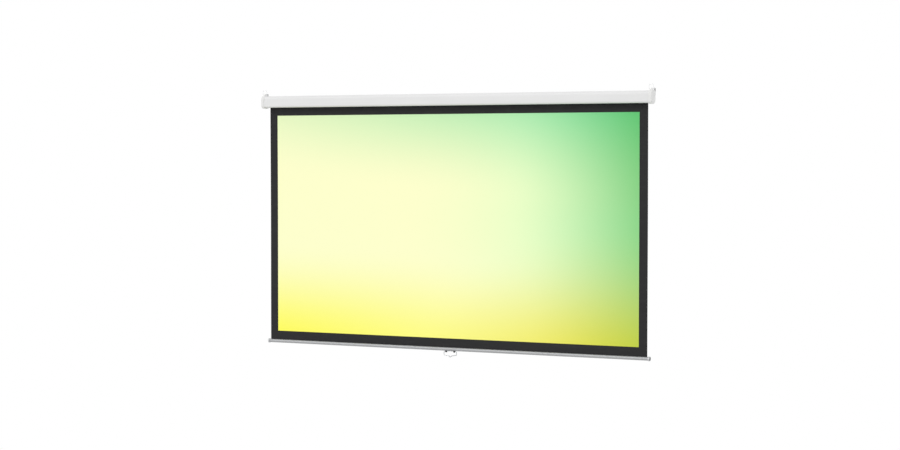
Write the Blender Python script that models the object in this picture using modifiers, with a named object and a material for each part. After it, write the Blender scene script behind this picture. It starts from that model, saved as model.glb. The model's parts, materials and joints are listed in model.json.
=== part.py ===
"""Manual pull-down projector screen: a spring roller in a wall case, its sheet, a weight bar and a bail.

X runs along the width, the wall is on the +Y side and Z is up. The origin is the centre of the case's
flat back. Every length is in metres. The screen is shown pulled right down.
"""

import math

import bmesh
import bpy
from mathutils import Matrix, Vector

# Clearances
FIT = 0.0003  # gap between pieces that touch, or that turn in each other
BAR_STOP_GAP = 0.001  # room left under the end caps when the bar is fully up

# Sheet
PICTURE_WIDTH = 2.300
PICTURE_HEIGHT = 1.294
SIDE_BORDER = 0.050
TOP_BORDER = 0.0485  # black band that shows between the case and the picture
BOTTOM_BORDER = 0.052
SHEET_THICKNESS = 0.00045
TURNS_LEFT = 2  # turns of sheet that never leave the roller

# Case, a thin formed shell that is open along a slot underneath
CASE_HEIGHT = 0.068
CASE_DEPTH = 0.0665
CASE_WALL = 0.0012
CASE_SIDE_ROOM = 0.016  # from the sheet's edge to the end cap
CASE_TOP_FRONT_RADIUS = 0.020
CASE_BOTTOM_FRONT_RADIUS = 0.012
CASE_REAR_RADIUS = 0.004
LIP_HEIGHT = 0.006
LIP_RADIUS = 0.002
SLOT_FRONT_ROOM = 0.007
SLOT_REAR_ROOM = 0.009  # wider, because the roll grows towards the rear
PORT_RADIUS = 0.0037
PORT_BORE = 0.0018
PORT_BITE = 0.0005  # how far a screw port runs into the case wall

# End caps
CAP_THICKNESS = 0.020
CAP_SEAT = 0.0065  # how far the case's end goes into its cap
CAP_PROUD = 0.0024  # how far a cap stands out past the case's top, front and back
CAP_DROP = 0.0055  # how far a cap hangs below the case
CAP_EDGE_RADIUS = 0.006
CAP_TOP_FRONT_RADIUS = 0.024
CAP_BOTTOM_FRONT_RADIUS = 0.020
CAP_BOTTOM_REAR_RADIUS = 0.026
CAP_TOP_REAR_RADIUS = 0.008
CAP_WALL = 0.0035
CAP_POCKET_RADIUS = 0.012
LUG_WIDTH = 0.013
LUG_DEPTH = 0.016
LUG_RISE = 0.0115
LUG_FOOT = 0.0015  # how far the lug runs down into the cap
LUG_TOP_RADIUS = 0.0065
LOOP_PIVOT_RISE = 0.0065  # from the cap's top to the hanging loop's pivot

# Hanging loops
LOOP_WIRE_RADIUS = 0.0013
LOOP_WIDTH = 0.026
LOOP_HEIGHT = 0.028
LOOP_FOOT_RADIUS = 0.004
LOOP_TOP_RADIUS = 0.0125

# Wall tabs
TAB_WIDTH = 0.009
TAB_THICKNESS = 0.002
TAB_RISE = 0.0125
TAB_TAIL = 0.028
TAB_CORNER_RADIUS = 0.003
TAB_HOLE_RADIUS = 0.0033
TAB_HOLE_RISE = 0.0068
TAB_SCREW_DROP = 0.018  # from the cap's top down to the tab's own screw

# Screws
SCREW_RADIUS = 0.0015
SCREW_HEAD_RADIUS = 0.0032
SCREW_HEAD_HEIGHT = 0.0022
CAP_SCREW_LENGTH = 0.018
CAP_SCREW_SINK = 0.0048  # from the cap's outer face down to the seat of the screw's head
TAB_SCREW_LENGTH = 0.011
FLAT_HEAD_RADIUS = 0.0027
FLAT_HEAD_HEIGHT = 0.0014
BRACKET_SCREW_LENGTH = 0.006
BRACKET_SCREW_HEAD_RADIUS = 0.0029
BRACKET_SCREW_HEAD_HEIGHT = 0.0015
RECESS_WIDTH = 0.0008
RECESS_LENGTH = 0.0034
RECESS_DEPTH = 0.0009

# Brackets inside the caps, and the bush of the idle end
BRACKET_THICKNESS = 0.002
BUSH_RADIUS = 0.0062
BUSH_FLANGE_RADIUS = 0.009
BUSH_FLANGE_THICKNESS = 0.0015
BUSH_HUB_LENGTH = 0.0035

# Roller
ROLLER_INSET = 0.0387  # from the case's back to the roller's axis
TUBE_RADIUS = 0.019
TUBE_WALL = 0.0012
TUBE_OVERHANG = 0.003  # from the sheet's edge to the end of the tube
PLUG_LENGTH = 0.024
PLUG_WALL = 0.003
FLANGE_THICKNESS = 0.002
GUDGEON_RADIUS = 0.004
GUDGEON_INSERT = 0.018
GUDGEON_END_ROOM = 0.004  # from the bracket's outer face to the end of the pin
PIN_CHAMFER = 0.0007

# Spring motor
SPINDLE_RADIUS = 0.0045
TANG_THICKNESS = 0.005
TANG_LENGTH = 0.009
TANG_SLOT_RISE = 0.014
SPRING_WIRE_RADIUS = 0.001
SPRING_COIL_RADIUS = 0.011
SPRING_PITCH = 0.0065
SPRING_TURNS = 36
SPRING_SETBACK = 0.035  # from the tube's end to the coil
ANCHOR_THICKNESS = 0.020
RATCHET_RADIUS = 0.0095
RATCHET_NOTCH = 0.0022
RATCHET_NOTCHES = 4
RATCHET_SLOPE_SHARE = 0.98  # the slope's share of the turn from notch to notch
RATCHET_THICKNESS = 0.003
PAWL_ORBIT = 0.0145  # from the roller's axis to a pawl's pivot
PAWL_LENGTH = 0.009
PAWL_WIDTH = 0.0036
PAWL_THICKNESS = 0.0025
PAWL_PIN_RADIUS = 0.00125
PAWL_PIN_SEAT = 0.003  # how deep a pawl's pin sits in the end plug
PAWL_HEEL_RADIUS = 0.0016
PAWL_EDGE_RADIUS = 0.0007
PAWL_LETTERS = "ab"

# Weight bar
BAR_RADIUS = 0.010
BAR_WALL = 0.0015
BAR_SLOT = 0.003
BAR_SIDE_ROOM = 0.006  # from the sheet's edge to the bar's cap
BAR_CAP_RADIUS = 0.0125
BAR_CAP_LENGTH = 0.0105
BAR_CAP_WALL = 0.003
BAR_CAP_EDGE_RADIUS = 0.0025
HEM_ROD_RADIUS = 0.003
HEM_ROD_OVERHANG = 0.005

# Bail and its bracket
SADDLE_THICKNESS = 0.0016
SADDLE_LENGTH = 0.064
SADDLE_ARC = math.radians(100)
EAR_WIDTH = 0.012
EAR_THICKNESS = 0.0076
EAR_EDGE_RADIUS = 0.0034
EAR_WALL_BELOW = 0.001  # material left under the bail's wire
SADDLE_SCREW_SPACING = 0.020
BAIL_WIRE_RADIUS = 0.0025
BAIL_HALF_WIDTH = 0.040
BAIL_SIDE_DROP = 0.019
BAIL_DIP_HALF_WIDTH = 0.009
BAIL_DIP_TOP = 0.0235
BAIL_DIP_TIP = 0.031
BAIL_SHOULDER_RADIUS = 0.005
BAIL_CORNER_RADIUS = 0.006
BAIL_TIP_RADIUS = 0.003

# How finely round shapes are cut into flats
ROUND_STEPS = 32
SMALL_ROUND_STEPS = 16
CORNER_STEPS = 6
CAP_EDGE_STEPS = 3
SPRING_POINTS_PER_TURN = 8

# Places worked out from the sizes above
SHEET_WIDTH = PICTURE_WIDTH + 2 * SIDE_BORDER
CASE_TOP = CASE_HEIGHT / 2
CASE_BOTTOM = -CASE_HEIGHT / 2
WRAP_INNER_RADIUS = TUBE_RADIUS + FIT
WRAP_RADIUS = WRAP_INNER_RADIUS + TURNS_LEFT * SHEET_THICKNESS
ROLLER_Y = -ROLLER_INSET
SHEET_Y = ROLLER_Y + WRAP_RADIUS + FIT + SHEET_THICKNESS / 2
SLOT_REAR = SHEET_Y + SLOT_REAR_ROOM
SLOT_FRONT = SHEET_Y - SLOT_FRONT_ROOM
CAP_INNER = SHEET_WIDTH / 2 + CASE_SIDE_ROOM
CAP_OUTER = CAP_INNER + CAP_THICKNESS
CASE_HALF_LENGTH = CAP_INNER + CAP_SEAT
BRACKET_INNER = CASE_HALF_LENGTH + FIT
BRACKET_OUTER = BRACKET_INNER + BRACKET_THICKNESS
CAP_FLOOR = BRACKET_OUTER + FIT
CAP_TOP = CASE_TOP + CAP_PROUD
CAP_BOTTOM = CASE_BOTTOM - CAP_DROP
CAP_BACK = CAP_PROUD
TUBE_END = SHEET_WIDTH / 2 + TUBE_OVERHANG
FLANGE_INNER = TUBE_END + FIT
FLANGE_OUTER = FLANGE_INNER + FLANGE_THICKNESS
RATCHET_INNER = FLANGE_OUTER + FIT
LUG_X = CAP_INNER + (CAP_THICKNESS - CAP_EDGE_RADIUS) / 2 + CAP_EDGE_RADIUS / 3
LOOP_PIVOT_Z = CAP_TOP + LOOP_PIVOT_RISE
TAB_RECESS_INNER = CAP_FLOOR + FIT
TAB_X = TAB_RECESS_INNER + FIT + TAB_WIDTH / 2
TAB_FRONT = CAP_BACK - TAB_THICKNESS
TAB_SCREW_Z = CAP_TOP - TAB_SCREW_DROP
SPRING_OUTER_END = TUBE_END - SPRING_SETBACK
SPRING_INNER_END = SPRING_OUTER_END - SPRING_TURNS * SPRING_PITCH
ANCHOR_END = SPRING_INNER_END - 2 * SPRING_WIRE_RADIUS
BAR_Z = CASE_BOTTOM - TOP_BORDER - PICTURE_HEIGHT - BOTTOM_BORDER - BAR_RADIUS
BAR_CAP_INNER = SHEET_WIDTH / 2 + BAR_SIDE_ROOM
BAR_CAP_OUTER = BAR_CAP_INNER + BAR_CAP_LENGTH
BAR_HALF_LENGTH = BAR_CAP_OUTER - BAR_CAP_WALL - FIT
BAR_RAISED_Z = CAP_BOTTOM - BAR_STOP_GAP - BAR_CAP_RADIUS
TRAVEL = BAR_RAISED_Z - BAR_Z
FULL_ROLL_RADIUS = math.sqrt(WRAP_RADIUS**2 + TRAVEL * SHEET_THICKNESS / math.pi)
ROLLER_TURNS = TRAVEL / (math.pi * (WRAP_RADIUS + FULL_ROLL_RADIUS))
SADDLE_RADIUS = BAR_RADIUS + FIT
EAR_OUTER = SADDLE_LENGTH / 2
BAIL_PIVOT_DROP = SADDLE_RADIUS + SADDLE_THICKNESS + 2 * FIT + BAIL_WIRE_RADIUS

# Turns a flat outline's local axes: its plane faces along X, or along Y
FACING_X = (math.pi / 2, 0, math.pi / 2)
FACING_Y = (math.pi / 2, 0, 0)
# Turns a turned piece's axis from Z to lie along X, along Y, or to point down
ALONG_X = (0, math.pi / 2, 0)
ALONG_MINUS_X = (0, -math.pi / 2, 0)
ALONG_PLUS_Y = (-math.pi / 2, 0, 0)
POINTING_DOWN = (math.pi, 0, 0)

SIDES = (("left", -1), ("right", 1))

# Colour, roughness and metallic value of each finish
FINISHES = {
    "white_powder_coat": ((0.82, 0.82, 0.82), 0.45, 0.0),
    "white_plastic": ((0.80, 0.80, 0.80), 0.40, 0.0),
    "screen_fabric": ((0.90, 0.93, 0.55), 0.85, 0.0),
    "silver_bar": ((0.62, 0.62, 0.63), 0.35, 0.6),
    "grey_plastic": ((0.36, 0.36, 0.37), 0.45, 0.0),
    "dark_steel": ((0.12, 0.12, 0.13), 0.45, 0.5),
    "bright_wire": ((0.66, 0.66, 0.67), 0.25, 1.0),
    "zinc_steel": ((0.50, 0.51, 0.52), 0.40, 1.0),
    "spring_steel": ((0.28, 0.28, 0.29), 0.35, 1.0),
    "nylon": ((0.75, 0.74, 0.70), 0.50, 0.0),
    "black_plastic": ((0.03, 0.03, 0.03), 0.50, 0.0),
}


def clear_scene():
    for item in list(bpy.data.objects):
        bpy.data.objects.remove(item)


def new_collection(name):
    collection = bpy.data.collections.new(name)
    bpy.context.scene.collection.children.link(collection)
    return collection


def finish(name):
    """The named finish as a material, made once."""
    found = bpy.data.materials.get(name)
    if found:
        return found
    colour, roughness, metallic = FINISHES[name]
    material = bpy.data.materials.new(name)
    material.use_nodes = True
    shader = material.node_tree.nodes["Principled BSDF"]
    shader.inputs["Base Color"].default_value = (*colour, 1)
    shader.inputs["Roughness"].default_value = roughness
    shader.inputs["Metallic"].default_value = metallic
    material.diffuse_color = (*colour, 1)
    return material


def place(item, at=(0, 0, 0), turn=(0, 0, 0), parent=None):
    item.location = at
    item.rotation_euler = turn
    item.parent = parent
    return item


def add_object(name, data, look=None):
    """A new object in the screen's collection, or in the cutters' where it has no finish."""
    item = bpy.data.objects.new(name, data)
    if look:
        PARTS.objects.link(item)
        data.materials.append(finish(look))
    else:
        CUTTERS.objects.link(item)
        item.hide_render = True
        item.display_type = "WIRE"
    return item


def axis_empty(name, at, parent=None):
    """An empty that carries a moving group and stands on its joint's axis."""
    item = bpy.data.objects.new(name, None)
    PARTS.objects.link(item)
    item.empty_display_size = 0.02
    return place(item, at, parent=parent)


def smooth(data, angle=35):
    data.shade_smooth()
    data.set_sharp_from_angle(angle=math.radians(angle))


def rounded(corners, closed=True, steps=CORNER_STEPS):
    """The points of a flat path through corners (u, v, radius), each corner replaced by an arc."""
    count = len(corners)
    points = []
    for i, (u, v, radius) in enumerate(corners):
        here = Vector((u, v))
        if radius <= 0 or (not closed and i in (0, count - 1)):
            points.append(here)
            continue
        back = (Vector(corners[i - 1][:2]) - here).normalized()
        ahead = (Vector(corners[(i + 1) % count][:2]) - here).normalized()
        half = back.angle(ahead) / 2
        middle = here + (back + ahead).normalized() * radius / math.sin(half)
        start = here + back * radius / math.tan(half) - middle
        sweep = math.pi - 2 * half
        sign = 1 if back.x * ahead.y - back.y * ahead.x < 0 else -1
        for k in range(steps + 1):
            turn = Matrix.Rotation(sign * sweep * k / steps, 2)
            points.append(middle + turn @ start)
    return points


def circle(radius, steps=SMALL_ROUND_STEPS, u=0.0, v=0.0):
    turns = [2 * math.pi * k / steps for k in range(steps)]
    return [Vector((u + radius * math.cos(t), v + radius * math.sin(t))) for t in turns]


def band(inner, outer, start, sweep, steps):
    """The outline of a part of a ring, from one angle through a sweep."""
    angles = [start + sweep * k / steps for k in range(steps + 1)]
    out = [Vector((outer * math.cos(a), outer * math.sin(a))) for a in angles]
    back = [Vector((inner * math.cos(a), inner * math.sin(a))) for a in reversed(angles)]
    return out + back


def as_mesh(curve_object, look):
    """The curve object's solid as a mesh with its caps welded on."""
    name = curve_object.name
    bpy.context.view_layer.update()
    evaluated = curve_object.evaluated_get(bpy.context.evaluated_depsgraph_get())
    data = bpy.data.meshes.new_from_object(evaluated)
    turn = curve_object.rotation_euler.copy()
    at = curve_object.location.copy()
    parent = curve_object.parent
    bpy.data.objects.remove(curve_object)
    shape = bmesh.new()
    shape.from_mesh(data)
    bmesh.ops.remove_doubles(shape, verts=shape.verts, dist=1e-6)
    bmesh.ops.dissolve_limit(shape, angle_limit=math.radians(1), verts=shape.verts, edges=shape.edges)
    bmesh.ops.recalc_face_normals(shape, faces=shape.faces)
    shape.to_mesh(data)
    shape.free()
    data.materials.clear()
    return place(add_object(name, data, look), at, turn, parent)


def plate(name, outline, thickness, look=None, at=(0, 0, 0), turn=FACING_X, parent=None, holes=()):
    """A flat outline with holes, given thickness about its plane."""
    data = bpy.data.curves.new(name, "CURVE")
    data.dimensions = "2D"
    data.fill_mode = "BOTH"
    data.extrude = thickness / 2
    for ring in (outline, *holes):
        spline = data.splines.new("POLY")
        spline.points.add(len(ring) - 1)
        for point, (u, v) in zip(spline.points, ring):
            point.co = (u, v, 0, 1)
        spline.use_cyclic_u = True
    return as_mesh(place(add_object(name, data, look), at, turn, parent), look)


def turned(name, profile, look=None, hollow=False, steps=ROUND_STEPS, at=(0, 0, 0), turn=ALONG_X,
           parent=None):
    """A turned piece. Its profile is (axial, radius) points from the far end to the near end."""
    data = bpy.data.meshes.new(name)
    shape = bmesh.new()
    verts = [shape.verts.new((radius, 0, axial)) for axial, radius in profile]
    pairs = list(zip(verts, verts[1:]))
    if hollow:
        pairs.append((verts[-1], verts[0]))
    for pair in pairs:
        shape.edges.new(pair)
    shape.to_mesh(data)
    shape.free()
    item = place(add_object(name, data, look), at, turn, parent)
    screw = item.modifiers.new("turning", "SCREW")
    screw.axis = "Z"
    screw.angle = 2 * math.pi
    screw.steps = steps
    screw.render_steps = steps
    screw.use_merge_vertices = True
    screw.merge_threshold = 1e-6
    screw.use_smooth_shade = False
    return item


def ring(name, near, far, inner, outer, look=None, steps=ROUND_STEPS, **where):
    """A plain tube or washer between two places along its axis."""
    profile = [(far, outer), (near, outer), (near, inner), (far, inner)]
    return turned(name, profile, look, hollow=True, steps=steps, **where)


def rod(name, near, far, radius, look=None, chamfer=0.0, steps=SMALL_ROUND_STEPS, **where):
    """A plain round rod, with chamfered ends if asked."""
    profile = [(far, 0), (far, radius - chamfer), (far - chamfer, radius)]
    profile += [(near + chamfer, radius), (near, radius - chamfer), (near, 0)]
    if not chamfer:
        profile = [(far, 0), (far, radius), (near, radius), (near, 0)]
    return turned(name, profile, look, steps=steps, **where)


def block(name, low, high, look=None, at=(0, 0, 0), turn=(0, 0, 0), parent=None):
    """A box between two corners."""
    low, high = Vector(low), Vector(high)
    data = bpy.data.meshes.new(name)
    shape = bmesh.new()
    bmesh.ops.create_cube(shape, size=1)
    bmesh.ops.scale(shape, vec=high - low, verts=shape.verts)
    bmesh.ops.translate(shape, vec=(low + high) / 2, verts=shape.verts)
    shape.to_mesh(data)
    shape.free()
    return place(add_object(name, data, look), at, turn, parent)


def wire(name, points, radius, look, at=(0, 0, 0), parent=None, closed=False, roundness=1):
    """A round wire bent along points."""
    data = bpy.data.curves.new(name, "CURVE")
    data.dimensions = "3D"
    data.bevel_depth = radius
    data.bevel_resolution = roundness
    data.use_fill_caps = True
    spline = data.splines.new("POLY")
    spline.points.add(len(points) - 1)
    for point, co in zip(spline.points, points):
        point.co = (*co, 1)
    spline.use_cyclic_u = closed
    return place(add_object(name, data, look), at, parent=parent)


def combine(body, tool, operation):
    modifier = body.modifiers.new(tool.name, "BOOLEAN")
    modifier.operation = operation
    modifier.object = tool
    modifier.solver = "EXACT"


def cut(body, *tools):
    for tool in tools:
        combine(body, tool, "DIFFERENCE")


def join(body, *tools):
    for tool in tools:
        combine(body, tool, "UNION")


def case_outline(grow=0.0):
    """The case's outside in (y, z), from the rear bottom corner round, without its slot."""
    return rounded(
        [
            (grow, CASE_BOTTOM - grow, CASE_REAR_RADIUS + grow),
            (grow, CASE_TOP + grow, CASE_REAR_RADIUS + grow),
            (-CASE_DEPTH - grow, CASE_TOP + grow, CASE_TOP_FRONT_RADIUS + grow),
            (-CASE_DEPTH - grow, CASE_BOTTOM - grow, CASE_BOTTOM_FRONT_RADIUS + grow),
        ]
    )


def cap_outline():
    return rounded(
        [
            (CAP_BACK, CAP_BOTTOM, CAP_BOTTOM_REAR_RADIUS),
            (CAP_BACK, CAP_TOP, CAP_TOP_REAR_RADIUS),
            (-CASE_DEPTH - CAP_PROUD, CAP_TOP, CAP_TOP_FRONT_RADIUS),
            (-CASE_DEPTH - CAP_PROUD, CAP_BOTTOM, CAP_BOTTOM_FRONT_RADIUS),
        ]
    )


def port_places():
    """The (y, z) centres of the screw ports, tucked into the rear top and front bottom corners."""
    places = []
    tuck = CASE_WALL + PORT_RADIUS - PORT_BITE
    rear = max(CASE_REAR_RADIUS, tuck)
    front = max(CASE_BOTTOM_FRONT_RADIUS, tuck)
    for y, z, radius, side in ((0, CASE_TOP, rear, -1), (-CASE_DEPTH, CASE_BOTTOM, front, 1)):
        inset = radius - (radius - tuck) * math.sqrt(0.5)
        places.append((y + side * inset, z + side * inset))
    return places


def case_path(inset):
    """The case wall's (y, z) path from its rear lip to its front lip, this far inside the outer face."""
    return rounded(
        [
            (SLOT_REAR + inset, CASE_BOTTOM + LIP_HEIGHT, 0),
            (SLOT_REAR + inset, CASE_BOTTOM + inset, LIP_RADIUS - inset),
            (-inset, CASE_BOTTOM + inset, CASE_REAR_RADIUS - inset),
            (-inset, CASE_TOP - inset, CASE_REAR_RADIUS - inset),
            (-CASE_DEPTH + inset, CASE_TOP - inset, CASE_TOP_FRONT_RADIUS - inset),
            (-CASE_DEPTH + inset, CASE_BOTTOM + inset, CASE_BOTTOM_FRONT_RADIUS - inset),
            (SLOT_FRONT - inset, CASE_BOTTOM + inset, LIP_RADIUS - inset),
            (SLOT_FRONT - inset, CASE_BOTTOM + LIP_HEIGHT, 0),
        ],
        closed=False,
    )


def meets_circle(outside, inside, centre, radius):
    """Where the line from a point outside a circle to a point inside it crosses the circle."""
    step = inside - outside
    away = outside - centre
    half_b = away.dot(step)
    root = math.sqrt(half_b**2 - step.length_squared * (away.length_squared - radius**2))
    return outside + step * (-half_b - root) / step.length_squared


def round_port(path, centre):
    """The path with the stretch inside a screw port's circle led round the port's free side."""
    held = [i for i, point in enumerate(path) if (point - centre).length < PORT_RADIUS]
    first, last = held[0], held[-1]
    start = meets_circle(path[first - 1], path[first], centre, PORT_RADIUS) - centre
    end = meets_circle(path[last + 1], path[last], centre, PORT_RADIUS) - centre
    sweep = math.copysign(2 * math.pi, -start.cross(end)) + math.atan2(start.cross(end), start.dot(end))
    steps = SMALL_ROUND_STEPS
    around = [centre + Matrix.Rotation(sweep * k / steps, 2) @ start for k in range(steps + 1)]
    return [*path[:first], *around, *path[last + 1 :]]


def make_case_shell():
    inner = case_path(CASE_WALL)
    bores = []
    for y, z in port_places():
        inner = round_port(inner, Vector((y, z)))
        bores.append(circle(PORT_BORE, u=y, v=z))
    outline = [*case_path(0), *reversed(inner)]
    plate("case_shell", outline, 2 * CASE_HALF_LENGTH, "white_powder_coat", holes=bores)


def cross_recess(name, at, turn, parent=None):
    """Two cutters for a screw head's cross recess, about their local Z."""
    half, arm, deep = RECESS_WIDTH / 2, RECESS_LENGTH / 2, RECESS_DEPTH
    where = {"at": at, "turn": turn, "parent": parent}
    return [
        block(name + "_a", (-half, -arm, -deep), (half, arm, deep), **where),
        block(name + "_b", (-arm, -half, -deep), (arm, half, deep), **where),
    ]


def screw(name, head, length, at, turn, parent=None, flat=False):
    """A screw whose head points along its local Z from its seat at the origin."""
    head_radius, head_height = head
    if flat:
        top = 0
        profile = [(0, 0), (0, head_radius), (-head_height, SCREW_RADIUS)]
    else:
        top = head_height
        rises = (math.pi / 6, math.pi / 3, math.pi / 2)
        dome = [(top * math.cos(a), head_radius * math.sin(a)) for a in rises]
        profile = [(top, 0), (top, dome[0][1]), *dome[1:], (0, SCREW_RADIUS)]
    profile += [(-length + SCREW_RADIUS, SCREW_RADIUS), (-length, 0)]
    where = {"at": at, "turn": turn, "parent": parent}
    item = turned(name, profile, "zinc_steel", steps=SMALL_ROUND_STEPS, **where)
    crown = item.matrix_basis @ Vector((0, 0, top))
    cut(item, *cross_recess(name + "_recess", crown, turn, parent))
    return item


def stepped_drill(near, step, far, narrow, wide):
    """The profile of a cutter for a hole that widens beyond a step."""
    return [(far, 0), (far, wide), (step, wide), (step, narrow), (near, narrow), (near, 0)]


def make_end_cap(side_name, side):
    middle = side * (CAP_INNER + CAP_OUTER) / 2
    cap = plate(f"end_cap_{side_name}", cap_outline(), CAP_THICKNESS, "white_plastic", at=(middle, 0, 0))
    shape = bmesh.new()
    shape.from_mesh(cap.data)
    outer = side * CAP_THICKNESS / 2
    rim = [e for e in shape.edges if all(abs(v.co.z - outer) < 1e-6 for v in e.verts)]
    bmesh.ops.bevel(
        shape, geom=rim, offset=CAP_EDGE_RADIUS, segments=CAP_EDGE_STEPS, profile=0.5, affect="EDGES"
    )
    shape.to_mesh(cap.data)
    shape.free()
    smooth(cap.data)

    rise = LUG_RISE + LUG_FOOT
    foot = CAP_TOP - LUG_FOOT
    half = LUG_DEPTH / 2
    arch = rounded(
        [
            (half, foot, 0),
            (half, foot + rise, LUG_TOP_RADIUS),
            (-half, foot + rise, LUG_TOP_RADIUS),
            (-half, foot, 0),
        ]
    )
    pivot_hole = circle(LOOP_WIRE_RADIUS + FIT, v=LOOP_PIVOT_Z)
    lug = plate(f"lug_{side_name}", arch, LUG_WIDTH, at=(side * LUG_X, ROLLER_Y, 0), holes=[pivot_hole])
    join(cap, lug)

    inside = 2 * CAP_THICKNESS
    seat_at = side * (CAP_FLOOR - inside / 2)
    seat = plate(f"seat_{side_name}", case_outline(FIT), inside, at=(seat_at, 0, 0))
    depth = CAP_OUTER - CAP_WALL
    pocket = rod(f"pocket_{side_name}", *sorted((side * CAP_INNER, side * depth)), CAP_POCKET_RADIUS,
                 at=(0, ROLLER_Y, 0), steps=ROUND_STEPS)
    cut(cap, seat, pocket)
    turn = ALONG_X if side > 0 else ALONG_MINUS_X
    sink_floor = CAP_OUTER - CAP_SCREW_SINK
    far = CAP_OUTER + CAP_WALL
    drill = stepped_drill(CAP_INNER, sink_floor, far, SCREW_RADIUS + FIT, SCREW_HEAD_RADIUS + FIT)
    for (y, z), level in zip(port_places(), ("upper", "lower")):
        name = f"cap_drill_{side_name}_{level}"
        cut(cap, turned(name, drill, at=(0, y, z), turn=turn, steps=SMALL_ROUND_STEPS))
        seat_x = side * (sink_floor + FIT)
        head = (SCREW_HEAD_RADIUS, SCREW_HEAD_HEIGHT)
        screw(f"cap_screw_{side_name}_{level}", head, CAP_SCREW_LENGTH, (seat_x, y, z), turn)
    make_wall_tab(side_name, side, cap)


def make_wall_tab(side_name, side, cap):
    """The steel tab at the back of a cap, which a wall screw goes through, and the screw that holds it."""
    half = TAB_WIDTH / 2
    low, high = CAP_TOP - TAB_TAIL, CAP_TOP + TAB_RISE
    outline = rounded(
        [(half, low, 0), (half, high, TAB_CORNER_RADIUS), (-half, high, TAB_CORNER_RADIUS), (-half, low, 0)]
    )
    x = side * TAB_X
    holes = [
        circle(TAB_HOLE_RADIUS, v=CAP_TOP + TAB_HOLE_RISE),
        circle(SCREW_RADIUS + FIT, v=TAB_SCREW_Z),
    ]
    where = {"at": (x, (TAB_FRONT + CAP_BACK) / 2, 0), "turn": FACING_Y}
    tab = plate(f"wall_tab_{side_name}", outline, TAB_THICKNESS, "dark_steel", holes=holes, **where)
    sink = [(FIT, 0), (FIT, FLAT_HEAD_RADIUS + 2 * FIT), (0, FLAT_HEAD_RADIUS + FIT)]
    sink += [(-FLAT_HEAD_HEIGHT - FIT, SCREW_RADIUS + FIT / 2), (-FLAT_HEAD_HEIGHT - FIT, 0)]
    cut(tab, turned(f"tab_sink_{side_name}", sink, at=(x, CAP_BACK, TAB_SCREW_Z), turn=ALONG_PLUS_Y,
                    steps=SMALL_ROUND_STEPS))
    low_x, high_x = sorted((side * TAB_RECESS_INNER, side * (CAP_OUTER + FIT)))
    low_corner = (low_x, TAB_FRONT - FIT, low - FIT)
    high_corner = (high_x, CAP_BACK + FIT, high)
    recess = block(f"tab_recess_{side_name}", low_corner, high_corner)
    hole_end = TAB_FRONT - TAB_SCREW_LENGTH - FIT
    hole = rod(f"tab_screw_hole_{side_name}", 0, CAP_BACK - hole_end, SCREW_RADIUS + FIT,
               at=(x, hole_end, TAB_SCREW_Z), turn=ALONG_PLUS_Y)
    cut(cap, recess, hole)
    screw(f"tab_screw_{side_name}", (FLAT_HEAD_RADIUS, FLAT_HEAD_HEIGHT), TAB_SCREW_LENGTH,
          (x, CAP_BACK - FIT, TAB_SCREW_Z), ALONG_PLUS_Y, flat=True)


def make_brackets():
    """The two steel plates inside the caps: one holds the idle end's bush, the other the spindle's tang."""
    screw_holes = [circle(SCREW_RADIUS + FIT, u=y, v=z) for y, z in port_places()]
    bush_hole = circle(BUSH_RADIUS + FIT, ROUND_STEPS, u=ROLLER_Y)
    half = TANG_THICKNESS / 2 + FIT
    below, above = -SPINDLE_RADIUS - FIT, TANG_SLOT_RISE
    rear, front = ROLLER_Y + half, ROLLER_Y - half
    slot = [(rear, below), (rear, above), (front, above), (front, below)]
    for side_name, side, opening in (("left", -1, bush_hole), ("right", 1, slot)):
        middle = side * (BRACKET_INNER + BRACKET_OUTER) / 2
        plate(f"bracket_{side_name}", case_outline(), BRACKET_THICKNESS, "zinc_steel", at=(middle, 0, 0),
              holes=[*screw_holes, opening])
    flange_face = -BRACKET_INNER + FIT
    profile = [
        (flange_face + BUSH_FLANGE_THICKNESS, BUSH_FLANGE_RADIUS),
        (flange_face, BUSH_FLANGE_RADIUS),
        (flange_face, BUSH_RADIUS),
        (flange_face - BUSH_HUB_LENGTH, BUSH_RADIUS),
        (flange_face - BUSH_HUB_LENGTH, GUDGEON_RADIUS + FIT),
        (flange_face + BUSH_FLANGE_THICKNESS, GUDGEON_RADIUS + FIT),
    ]
    turned("idle_bush", profile, "nylon", at=(0, ROLLER_Y, 0), hollow=True)


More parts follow.
